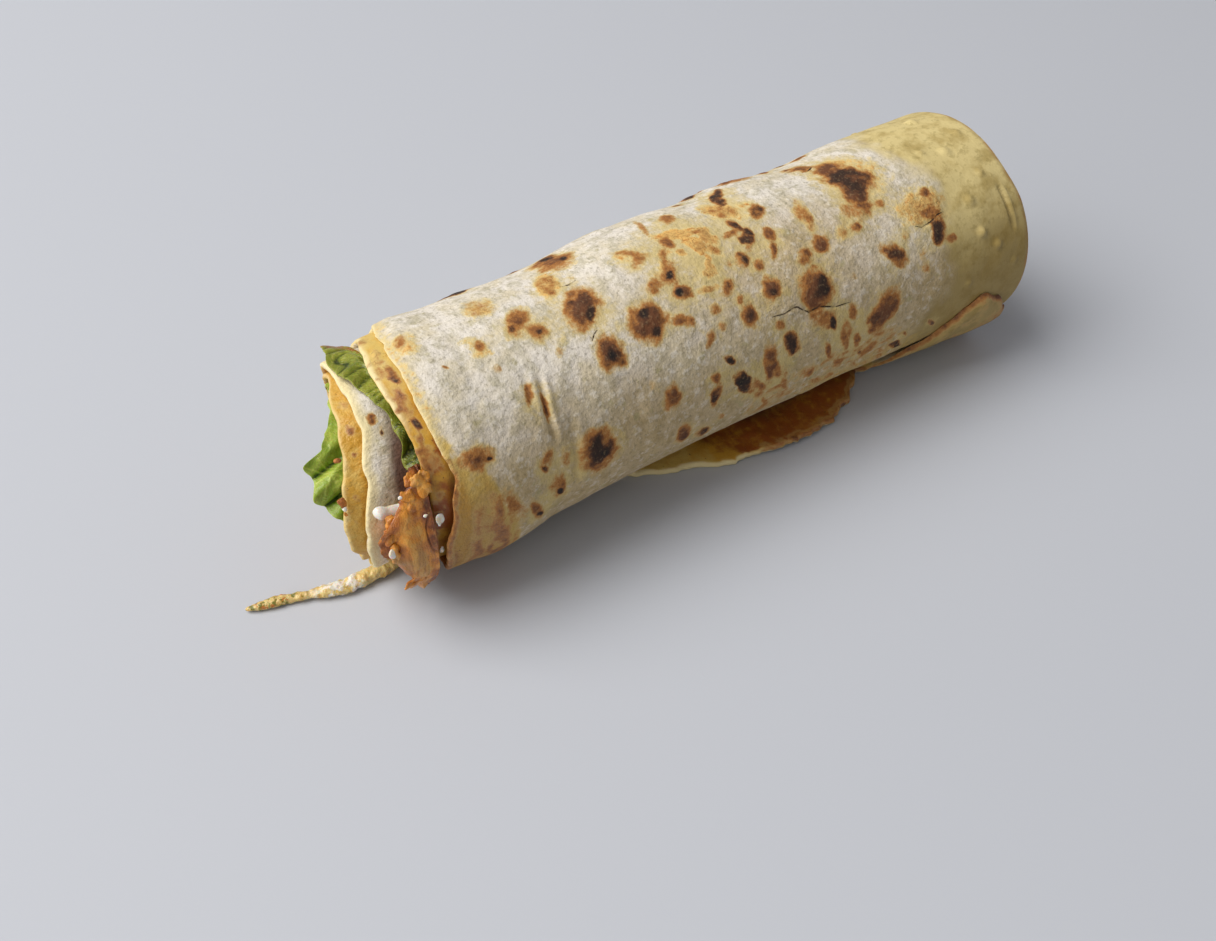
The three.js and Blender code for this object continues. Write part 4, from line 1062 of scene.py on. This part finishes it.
def thinned(u, v):
    """1 over a leaf, down to 0 at its four edges."""
    nearest = np.minimum(np.minimum(u, 1 - u), np.minimum(v, 1 - v) * 1.5)
    return np.sqrt(np.clip(nearest / LEAF_RIM, 0, 1))


def pleat(position, sharp=0.75):
    """Folds from -1 to 1 with rounded crests and narrow valleys, one for each whole number."""
    return 1 - 2 * np.abs(np.sin(np.pi * position)) ** sharp


def outer_leaf():
    u, v, face = two_faced(170, 70)
    at = blend(44, 144, u)
    inward = v**1.9
    x = blend(along(OUTER_LEAF_OPEN_EDGE, at) + 0.3 * np.sin(at * 0.35), FILLED_TO, inward)
    free = smooth(-x, 106, 111)
    angle = blend(blend(84, 142, u), at, free)
    near = inside_of(SECOND, angle) + LEAF / 2
    far = outside_of(THIRD, angle) - LEAF / 2
    ripple = 0.5 + 0.5 * np.sin(28 * u + 8 * v)
    flare = 1.9 * smooth(-x, 109, 116) * fall(angle, 50, 75)
    depth = blend(np.minimum(near, far), far, ripple * 0.9) - flare
    slanted = at / 8.5 + 0.10 * (x + 110) + 0.55 * np.sin(at * 0.13) + 0.3 * np.sin(at * 0.31)
    depth = depth + free * 0.28 * pleat(slanted) + free * 0.35 * np.sin(at * 0.17 + 0.3 * x)
    place = layer_point(angle, x, depth)
    depth = depth - 0.10 * lumps(place, 3, 42)
    vein = (at + 3.0 * (x + 112) + 6 * lumps(place, 5, 43)) % VEIN_SPACING
    # painted shade in the pleats and down the front of the leaf
    fields = {
        "vein": fall(np.abs(vein - VEIN_SPACING / 2), 0.1, 0.8), "edge": fall(inward, 0.0, 0.008),
        "browned": span(at, *BROWNED_ANGLES),
        "shade": free * smooth(pleat(slanted), -0.1, 0.9) + 0.6 * smooth(at, 100, 128),
    }
    return grid_mesh(layer_point(angle, x, depth - 0.32 * thinned(u, v) * face), fields)


def core_leaf():
    u, v, face = two_faced(210, 80)
    angle = blend(26, 204, u)
    inward = v**2.1
    x = blend(along(CORE_LEAF_OPEN_EDGE, angle) + 0.25 * np.sin(angle * 0.42), FILLED_TO, inward)
    free = smooth(-x, 122, 130)
    wave = 0.9 + 0.6 * np.sin(33 * u + 9 * v)
    lobe = pleat((angle - 96) / 26 + 0.03 * (x + 130), 0.9)
    depth = inside_of(FOURTH, angle) + LEAF / 2 + blend(wave, 1.2, free)
    curl = 1.5 * lobe + 0.35 * np.sin(angle * 0.5 + 0.8 * x) + 0.4 * smooth(-x, 131, 137)
    depth = depth + free * curl
    place = layer_point(angle, x, depth)
    depth = depth + 0.12 * lumps(place, 2.6, 44) + 0.25 * lumps(place, 6, 45)
    # its veins are rays that spread from one point of its open edge
    around, along_roll = (angle - 128) * 0.34, x + 130
    ray = np.degrees(np.arctan2(around, -along_roll)) + 5 * lumps(place, 3, 46)
    vein = np.abs(((ray + 11) % RAY_SPACING) - RAY_SPACING / 2) * np.hypot(around, along_roll) / 57
    fields = {
        "vein": fall(vein, 0.12, 0.4) * free, "edge": fall(inward, 0.0, 0.006), "browned": 0.0,
        "shade": free * smooth(lobe, 0.2, 0.95),
    }
    return grid_mesh(layer_point(angle, x, depth - 0.3 * thinned(u, v) * face), fields)


def lettuce_finish(name, deep, fresh, light):
    """A crisp leaf: lighter veins and edge, painted shade in its folds and painted light on their crests, and
    a moist shine.
    """
    leaf = Finish(name, fresh)
    patches = leaf.grain(5, detail=4)
    vein = leaf.field("vein")
    dark = leaf.plus(leaf.field("shade"), leaf.swing(patches, 1.3))
    # painted shade where the folds are, and painted light on the crests between them
    leaf.lay(deep, leaf.rise(dark, 0.15, 0.95))
    leaf.lay(light, leaf.times(leaf.rise(dark, 0.2, -0.3), 0.7))
    leaf.lay(light, leaf.times(vein, 0.65))
    leaf.lay(light, leaf.times(leaf.field("edge"), 0.4))
    leaf.lay(BROWNED_LEAF, leaf.times(leaf.field("browned"), leaf.rise(patches, 0.38, 0.55)))
    leaf.set(
        roughness=0.34, subsurface_weight=0.25, subsurface_radius=(0.4, 1.0, 0.15),
        subsurface_scale=1.2 * MM,
    )
    leaf.bumps(leaf.plus(leaf.grain(1.2, detail=4), leaf.times(vein, 0.4)), 0.3)
    return leaf


dark_lettuce = lettuce_finish("dark_lettuce", (56, 66, 12), (114, 122, 28), (170, 170, 66))
bright_lettuce = lettuce_finish("bright_lettuce", (56, 86, 16), (130, 154, 38), (196, 206, 96))
serve("lettuce_between_windings", outer_leaf(), dark_lettuce, "lettuce_outside")
serve("lettuce_at_open_end", core_leaf(), bright_lettuce, "lettuce_core")

# ---- chicken -----------------------------------------------------------------------------------------
# Shaved roast chicken: stringy, browned at its edges and wet with sauce. A slab of it bulges out between
# the second and third windings at the front, and the middle of the roll is packed with shavings.
SLAB_TOP, SLAB_FOOT = 142.0, 238.0
SLAB_OPEN_EDGE = [
    (SLAB_TOP, -113.6), (147, -115.4), (152, -117.0), (159, -120.6), (170, -123.4), (182, -124.6),
    (192, -123.6), (202, -121), (212, -118.8), (226, -117.2), (SLAB_FOOT, -116),
]
SLAB_BULGE = [
    (SLAB_TOP, 3.4), (150, 2.2), (166, 1.0), (184, 0.2), (202, -0.9), (218, -1.4), (SLAB_FOOT, -1.8),
]
SLAB_SINK = 0.6  # how much deeper than its bulge it lies
SLAB_CLEAR = 0.9  # how far in front of the second winding's rim it narrows
SLAB_MOUTH = 0.55  # share of the grid's columns that stand out of the mouth between the windings
SHELF = 0.13  # half the band of noise that makes the gaps between its layers of meat
CORE_WALL = [
    (0, 8.0), (50, 8.6), (90, 12), (135, 13.6), (180, 14.6), (255, 16), (280, 18.5), (300, 10), (360, 8.0),
]
CORE_LEAF_ROOM = [(0, 0.6), (20, 3.6), (210, 3.6), (235, 0.9), (280, 1.2), (360, 0.6)]
CORE_SHRINK = [
    (-128.5, 9), (-127.2, 4.5), (-124, 1.6), (-117, 0.3), (-108, 0.8), (-98, 0), (36, 0.9), (50, 1.6),
    (58, 3.5), (61, 7),
]
CORE_CLEAR = 0.6  # gap between the core and what lies round it
CORE_SIDES = 150
CORE_X = np.concatenate([np.linspace(-128.5, -96, 44), np.linspace(-92, 48, 14), np.linspace(50, 61, 6)])
CORE_CAP = 16  # rings that close its open end
CORE_SHOULDER = 12  # rings next to them, over which its end's lumps fade
CORE_SLANT = 9.0  # how much less its back stands out than its front
# Loose scraps at the open end: x, angle, depth, half sizes along the roll, round it and through, brown.
SCRAPS = [
    (-112.2, 150, 2.2, 2.6, 3.6, 0.9, 0.25), (-116.0, 155, 2.6, 2.4, 3.6, 0.8, 0.5),
    (-114.6, 147, 3.2, 1.5, 2.2, 0.7, 0.7), (-122.6, 168.5, 4.4, 2.4, 4.0, 1.0, 0.5),
    (-123.6, 180, 3.6, 1.9, 3.6, 1.0, 0.35), (-118.4, 206, 1.2, 4.2, 3.4, 0.8, 0.5),
    (-128.1, 124, 9.9, 1.0, 1.1, 0.45, 0.8), (-131.0, 149, 12.1, 1.1, 1.9, 0.5, 0.9),
    (-131.4, 157, 12.3, 0.6, 1.1, 0.4, 0.6),
]
SCRAP_DETAIL = 5
# Shavings heaped on its open end: their number, the half sizes of the largest, and how far out they lie.
SHAVINGS = 100
SHAVING_SIZE = (6.2, 3.2, 1.0)
SHAVING_REACH = 17.0
SHAVING_DETAIL = 4
SHAVING_SEED = 23
SHAVING_SAUCE = 0.25
MEAT_FIELDS = ("brown", "gap", "fibre", "sauce")


def slab():
    u, v, face = two_faced(210, 120)
    angle = blend(SLAB_TOP, SLAB_FOOT, u)
    mouth = along(OPEN_EDGE, SECOND + angle) - SLAB_CLEAR
    free = v < SLAB_MOUTH
    within = blend(mouth, FILLED_TO, np.clip((v - SLAB_MOUTH) / (1 - SLAB_MOUTH), 0, 1) ** 2.2)
    x = np.where(free, blend(along(SLAB_OPEN_EDGE, angle), mouth, v / SLAB_MOUTH), within)
    standing = along(SLAB_BULGE, angle) + SLAB_SINK
    out = blend(standing, np.where(free, standing, inside_of(SECOND, angle)), smooth(v, 0.42, 0.56))
    place = layer_point(angle, x, out)
    sway = 1.2 * lumps(place, 9, 50)
    strands = flat_spots(x + 0.05 * angle + sway, angle * ARC * 0.12)
    fibre = 0.6 * lumps(strands, 3.4, 51) + 0.3 * lumps(strands, 1.4, 52) + 0.14 * lumps(strands, 0.6, 53)
    knobs = lumps(place, 2.3, 60)
    shelf = np.abs(lumps(flat_spots(x + sway, 0.4 * angle * ARC), 4.5, 55))
    bulge = fall(v, 0.45, 0.62)
    lumpy = 0.26 * fibre + 1.1 * lumps(place, 5.5, 54) + 0.4 * knobs
    out = out - bulge * (lumpy - 0.5 * np.maximum(0, SHELF - shelf) / SHELF) + bulge * 0.2
    behind = np.maximum(outside_of(THIRD, angle) - 0.2, out + 0.8)
    inner = blend(out + 1.6, behind, smooth(angle, 164, 176))
    rim = np.sqrt(np.clip(np.minimum(np.minimum(u, 1 - u) * 9, np.minimum(v, 1 - v) * 7), 0, 1))
    middle, half = (inner + out) / 2, (inner - out) / 2 * rim
    heel = 8 * np.maximum(0, 0.42 - v) * span(angle, 158, 166, 178, 188)
    torn = bulge * (0.8 * lumps(place, 2.6, 56) + 0.4 * lumps(place, 1.2, 57)) * fall(v, 0.0, 0.25)
    x = x - np.where(face < 0, heel, 0) + torn
    brown = 0.42 + 0.4 * lumps(place, 5, 58) - 0.32 * knobs + 0.5 * fall(angle, 148, 160)
    brown = brown + 0.35 * fall(v, 0.0, 0.12) - 0.45 * span(angle, 168, 184, 200, 212) * smooth(v, 0.12, 0.3)
    # painted shade where the slab goes in between the windings; darker also towards its foot
    brown = brown + 0.75 * smooth(v + 0.06 * lumps(place, 4, 59), 0.34, 0.47) + 0.4 * smooth(angle, 206, 220)
    fields = {"brown": brown, "gap": bulge * np.maximum(0, 0.15 - shelf) * 6.5, "fibre": fibre, "sauce": 0.0}
    return grid_mesh(layer_point(angle, x, middle - half * face), fields)


def add_ball(mesh, detail):
    """Adds a ball of radius 1, and gives its vertices and their places."""
    verts = bmesh.ops.create_icosphere(mesh, subdivisions=detail, radius=1)["verts"]
    return verts, np.array([vert.co for vert in verts])


def lay_ball(verts, points, fields=()):
    """Lays a ball's vertices on the points, and sets (layer, value) pairs on them."""
    for k, vert in enumerate(verts):
        vert.co = points[k] * MM
        for layer, values in fields:
            vert[layer] = values[k]


def pressed(ball, swell, x, angle, depth, sizes):
    """A ball pressed on its layer, with its half sizes along the roll, round it and through."""
    spread = ball * sizes * swell[:, None]
    return layer_point(angle + spread[:, 1] / ARC, x + spread[:, 0], depth - spread[:, 2])


def scraps():
    """Torn bits of chicken, each a ball pressed flat on its layer and roughened along its strings."""
    whole = bmesh.new()
    layers = {name: whole.verts.layers.float.new(name) for name in MEAT_FIELDS}
    for x, angle, depth, length, round_, through, brown in SCRAPS:
        verts, ball = add_ball(whole, SCRAP_DETAIL)
        sizes = (length, round_, through)
        spot = ball * sizes + (x, angle, 3 * depth)
        fibre = lumps(spot * (1, 0.3, 1), 0.9, 91)
        swell = 1 + 0.45 * lumps(spot, 1.6, 92) + 0.2 * lumps(spot, 0.8, 97) + 0.16 * fibre
        marked = (layers["brown"], brown + 0.3 * fibre), (layers["fibre"], fibre)
        lay_ball(verts, pressed(ball, swell, x, angle, depth, sizes), marked)
    return whole


def core():
    angle = np.linspace(0, 360, CORE_SIDES + 1)[None, :]
    wall = along(CORE_WALL, angle) + BREAD / 2 + along(CORE_LEAF_ROOM, angle)
    cap = np.linspace(0.0, 1, CORE_CAP, endpoint=False)[:, None]
    x = np.concatenate([np.full((CORE_CAP, 1), CORE_X[0]), CORE_X[:, None]]) + 0 * angle
    capped = blend(HALF_WIDTH - wall, CORE_SHRINK[0][1], cap**0.8)
    shrink = np.concatenate([capped, along(CORE_SHRINK, CORE_X[:, None]) + 0 * angle])
    depth = wall + shrink + CORE_CLEAR
    depth[0] = HALF_WIDTH
    slant = CORE_SLANT * (1 + np.cos(np.radians(angle))) * fall(x, -128, -90)
    y, z = ring_point(angle, x, depth)
    place = np.stack([x + slant, y, z], axis=-1)
    place[0] = place[0].mean(axis=0)
    ends = fall(x, -120, -105)
    lump = lumps(place, 5.5, 61) + 0.6 * lumps(place, 2.6, 62)
    plain = np.zeros(len(CORE_X) - CORE_SHOULDER)
    facing_out = np.concatenate([np.ones(CORE_CAP), np.linspace(1, 0, CORE_SHOULDER), plain])[:, None]
    place[..., 0] += (0.9 * lump + 0.6) * ends * facing_out
    away = (place - (0, AXIS_Y, AXIS_HEIGHT)) * (0, 1, 1)
    away = away / np.maximum(1, np.linalg.norm(away, axis=-1, keepdims=True))
    place = place - away * ((0.25 + 0.5 * np.abs(lumps(place, 3.4, 63))) * (1 - facing_out))[..., None]
    place[:, -1] = place[:, 0]
    fields = {
        "brown": 0.5 + 0.5 * lumps(place, 5, 64), "gap": 0.0, "fibre": lumps(place, 1.2, 65),
        "sauce": 0.35 * ends,
    }
    return grid_mesh(place, fields)


def shavings():
    """Thin curled shavings of chicken, heaped at random on the core's open end."""
    rng = np.random.default_rng(SHAVING_SEED)
    whole = bmesh.new()
    layers = {name: whole.verts.layers.float.new(name) for name in MEAT_FIELDS}
    for _ in range(SHAVINGS):
        far, where = math.sqrt(rng.uniform(0, 1)), rng.uniform(0, 2 * math.pi)
        back = math.cos(where)
        radius = far * (SHAVING_REACH + 4 * back)
        slant = CORE_SLANT * (1 + back * min(1, radius / 6))
        x = CORE_X[0] + slant + 0.5 * max(0, radius - 12 - 6 * back) + rng.uniform(-0.9, 1.0)
        middle = (x, AXIS_Y + radius * back, AXIS_HEIGHT + radius * math.sin(where))
        spin = Matrix.Rotation(rng.uniform(0, math.pi), 3, "X") @ Matrix.Rotation(rng.normal(0, 0.4), 3, "Y")
        size = np.array(SHAVING_SIZE) * rng.uniform(0.5, 1)
        verts, ball = add_ball(whole, SHAVING_DETAIL)
        spot = ball * size + rng.uniform(0, 90, 3)
        fibre = lumps(spot * (0.3, 1, 1), 0.9, 94)
        flat = ball * size * (1 + 0.24 * lumps(spot, 2.2, 95) + 0.12 * fibre)[:, None]
        curl = 0.04 * flat[:, 0] ** 2 + 0.5 * lumps(spot, 4, 96)
        placed = np.stack([flat[:, 2] + curl, flat[:, 1], flat[:, 0]], axis=-1) @ np.array(spin).T + middle
        brown = rng.uniform(0.1, 0.9) + 0.3 * fibre
        sauce = np.full(len(ball), SHAVING_SAUCE)
        marked = (layers["brown"], brown), (layers["fibre"], fibre), (layers["sauce"], sauce)
        lay_ball(verts, placed, marked)
    return whole


def chicken_finish():
    """Roast chicken under a glossy orange glaze, with pale strings, darker browned edges, and painted shade
    in the gaps between its layers and where it goes in between the windings.
    """
    meat = Finish("glazed_roast_chicken", (224, 166, 76))
    rise, times, grain = meat.rise, meat.times, meat.grain
    strings = grain(1.1, detail=5, roughness=0.65, stretch=(1, 1, 0.22))
    broad = meat.plus(meat.field("brown"), meat.swing(grain(3.2, detail=5), 1.6))
    meat.lay((224, 146, 46), rise(broad, 0.05, 0.42))
    meat.lay((182, 106, 34), rise(broad, 0.42, 0.85))
    meat.lay((118, 60, 22), rise(broad, 0.85, 1.3))
    meat.lay((232, 176, 92), times(rise(strings, 0.54, 0.7), 0.42))
    meat.lay((150, 78, 22), times(rise(strings, 0.46, 0.32), 0.5))
    meat.lay((118, 54, 14), times(rise(meat.field("fibre"), -0.15, -0.7), 0.42))
    # painted shade in the gaps between its layers of meat
    meat.lay((96, 40, 12), times(meat.field("gap"), 0.6))
    smear = times(meat.field("sauce"), rise(grain(5, detail=4), 0.5, 0.62))
    white = meat.plus(rise(grain(1.7), 0.70, 0.76), smear, clamp=True)
    meat.lay((238, 214, 170), times(white, 0.6))
    meat.set(
        roughness=meat.between(0.25, 0.55, strings), coat_weight=0.22, coat_roughness=0.15,
        subsurface_weight=0.1, subsurface_radius=(1.0, 0.5, 0.2), subsurface_scale=1.0 * MM,
    )
    meat.bumps(meat.plus(strings, times(grain(0.6), 0.4)), 0.45)
    return meat


chicken = chicken_finish()
serve("chicken_slab", slab(), chicken, "chicken_outside")
serve("chicken_scraps", scraps(), chicken, "chicken_outside")
serve("chicken_core_pack", core(), chicken, "chicken_core")
serve("chicken_core_shavings", shavings(), chicken, "chicken_core")

# ---- garlic sauce ------------------------------------------------------------------------------------
# Thick white sauce: a ribbon on the third winding above the chicken, that wells out at the open end. Each
# of its stations gives x, angle, half its width in degrees, and half its thickness.
SAUCE_STATIONS = [
    (-125.4, 160.0, 3.5, 0.8), (-123.4, 160.6, 3.8, 0.95), (-121, 162.2, 3.5, 0.9), (-118, 164, 3.9, 1.0),
    (-114, 164, 3.0, 0.8), (-106, 156, 4, 0.6), (-80, 157, 4.6, 0.6), (-50, 155, 3.8, 0.6),
    (-20, 157, 4.6, 0.6), (10, 156, 4, 0.6), (38, 156, 3, 0.5), (FILLED_TO, 156, 1.2, 0.3),
]
SAUCE_SIDES = 40
SAUCE_X = np.concatenate([
    -125.4 + 3.4 * np.linspace(0, 1, 26) ** 1.6, np.linspace(-121.8, -108, 40),
    np.linspace(-104, FILLED_TO, 24),
])
SAUCE_END = 1.5  # length over which its ends are rounded
# Drops of the same sauce: x, angle, depth, and half sizes along the roll, round it and through.
DROPS = [
    (-124.9, 178, 2.9, 1.2, 1.7, 0.5), (-110.4, 169.5, 1.6, 1.2, 1.6, 0.4),
    (-111.2, 190, 1.7, 0.7, 1.3, 0.4), (-131.2, 153, 12.1, 0.6, 1.2, 0.4),
    (-118.6, 152.5, 2.4, 0.8, 0.6, 0.4), (-114.5, 163, 0.0, 0.6, 0.4, 0.3),
    (-110.9, 172.5, 1.7, 0.5, 0.7, 0.3),
]
DROP_DETAIL = 4


def sauce_ribbon():
    stations = np.array(SAUCE_STATIONS).T
    x = SAUCE_X[:, None]
    a = np.linspace(0, 2 * np.pi, SAUCE_SIDES + 1)[None, :]
    angle, reach, half = (along(list(zip(stations[0], row)), x) for row in stations[1:])
    from_end = np.minimum(x - SAUCE_X[0], SAUCE_X[-1] - x)
    close = np.sqrt(1 - (1 - np.clip(from_end / SAUCE_END, 0, 1)) ** 2)
    reach = reach * close * (1 + 0.06 * np.sin(x * 1.1) + 0.06 * lumps(flat_spots(x, 0), 1.8, 72))
    half = half * close
    at = angle + reach * np.cos(a)
    depth = outside_of(THIRD, angle) - half + half * np.sin(a)
    place = layer_point(at, x + 0 * a, depth)
    swell_out = smooth(-x, 112, 118) * np.maximum(0, -np.sin(a)) * (0.5 + 0.3 * lumps(place, 3, 71)) * close
    return grid_mesh(layer_point(at, x + 0 * a, depth - swell_out), {})


def drops():
    whole = bmesh.new()
    for x, angle, depth, *sizes in DROPS:
        verts, ball = add_ball(whole, DROP_DETAIL)
        lay_ball(verts, pressed(ball, 1 + 0.3 * lumps(ball + x, 1.0, 93), x, angle, depth, sizes))
    return whole


def sauce_finish():
    """Glossy, faintly warm white."""
    sauce = Finish("garlic_sauce", (238, 234, 224))
    sauce.lay((226, 206, 170), sauce.rise(sauce.grain(2.4), 0.52, 0.72))
    sauce.set(roughness=0.22, subsurface_weight=0.3, subsurface_scale=1.0 * MM)
    sauce.bumps(sauce.grain(1.8, detail=2), 0.12)
    return sauce


white_sauce = sauce_finish()
serve("garlic_sauce_ribbon", sauce_ribbon(), white_sauce, "garlic_sauce")
serve("garlic_sauce_drops", drops(), white_sauce, "garlic_sauce")

# ---- the onion strip ---------------------------------------------------------------------------------
# A soft strip of onion in sauce that has slid out of the roll and lies on the table. A smooth curve
# through the points of its route is its middle line.
STRIP_ROUTE = [
    (-114.5, -8.6, 2.4), (-122, -9.8, 2.4), (-131.9, -10, 2.2), (-137.4, -8.4, 1.9), (-145.4, -5.9, 1.6),
    (-153.5, -3.4, 1.4), (-160, -1.2, 1),
]
STRIP_DEGREE = 5
STRIP_HALF_WIDTH = [(0, 1.6), (0.1, 2.6), (0.3, 2.4), (0.5, 2.1), (0.62, 1.3), (0.8, 1.6), (1, 0.6)]
STRIP_STEPS = 170
STRIP_SIDES = 32
STRIP_FLATNESS = 0.85
STRIP_LIFT = 0.15
STRIP_LOWEST = 0.12


def onion_strip():
    route = np.array(STRIP_ROUTE)
    t = np.linspace(0, 1, STRIP_STEPS)
    curve = np.polynomial.polynomial.polyfit(np.linspace(0, 1, len(route)), route, STRIP_DEGREE)
    centre = np.stack([np.polynomial.polynomial.polyval(t, curve[:, k]) for k in range(3)], axis=-1)
    side = np.cross((0, 0, 1), np.gradient(centre, axis=0))
    side /= np.linalg.norm(side, axis=1, keepdims=True)
    width = along(STRIP_HALF_WIDTH, t) * np.sqrt(np.clip(np.minimum(t, 1 - t) * 40, 0, 1))
    height = np.minimum(STRIP_FLATNESS * width, centre[:, 2] - STRIP_LIFT)
    a = np.linspace(0, 2 * np.pi, STRIP_SIDES + 1)
    away = side[:, None] * (width[:, None] * np.cos(a))[..., None]
    away[..., 2] += height[:, None] * np.sin(a)
    ring = centre[:, None] + away
    rough = 0.35 * lumps(ring, 2.2, 81) + 0.22 * lumps(ring, 0.9, 82)
    ring = centre[:, None] + away * (1 + 0.6 * rough)[..., None]
    ring[..., 2] = np.maximum(ring[..., 2], STRIP_LOWEST)
    ring[:, -1] = ring[:, 0]
    return grid_mesh(ring, {"end": t[:, None]})


def onion_finish():
    """Translucent yellow onion under white sauce, with green herb and orange spice towards its end."""
    onion = Finish("onion_in_sauce", (222, 196, 128))
    rise, times, grain = onion.rise, onion.times, onion.grain
    end = onion.field("end")
    onion.lay((206, 168, 84), rise(grain(3), 0.45, 0.65))
    covered = times(rise(end, 0.2, 0.32), rise(end, 0.66, 0.5))
    onion.lay((232, 226, 212), times(rise(grain(2.6, detail=4), 0.46, 0.58), covered))
    onion.lay((120, 118, 42), times(rise(grain(1.5), 0.5, 0.6), rise(end, 0.55, 0.72)))
    onion.lay((190, 116, 44), times(rise(grain(1.9, twist=0.6), 0.56, 0.64), rise(end, 0.45, 0.66)))
    onion.set(roughness=0.25, subsurface_weight=0.25, subsurface_scale=1.0 * MM)
    onion.bumps(grain(1.0), 0.4)
    return onion


serve("onion_strip_in_sauce", onion_strip(), onion_finish(), "onion_strip")
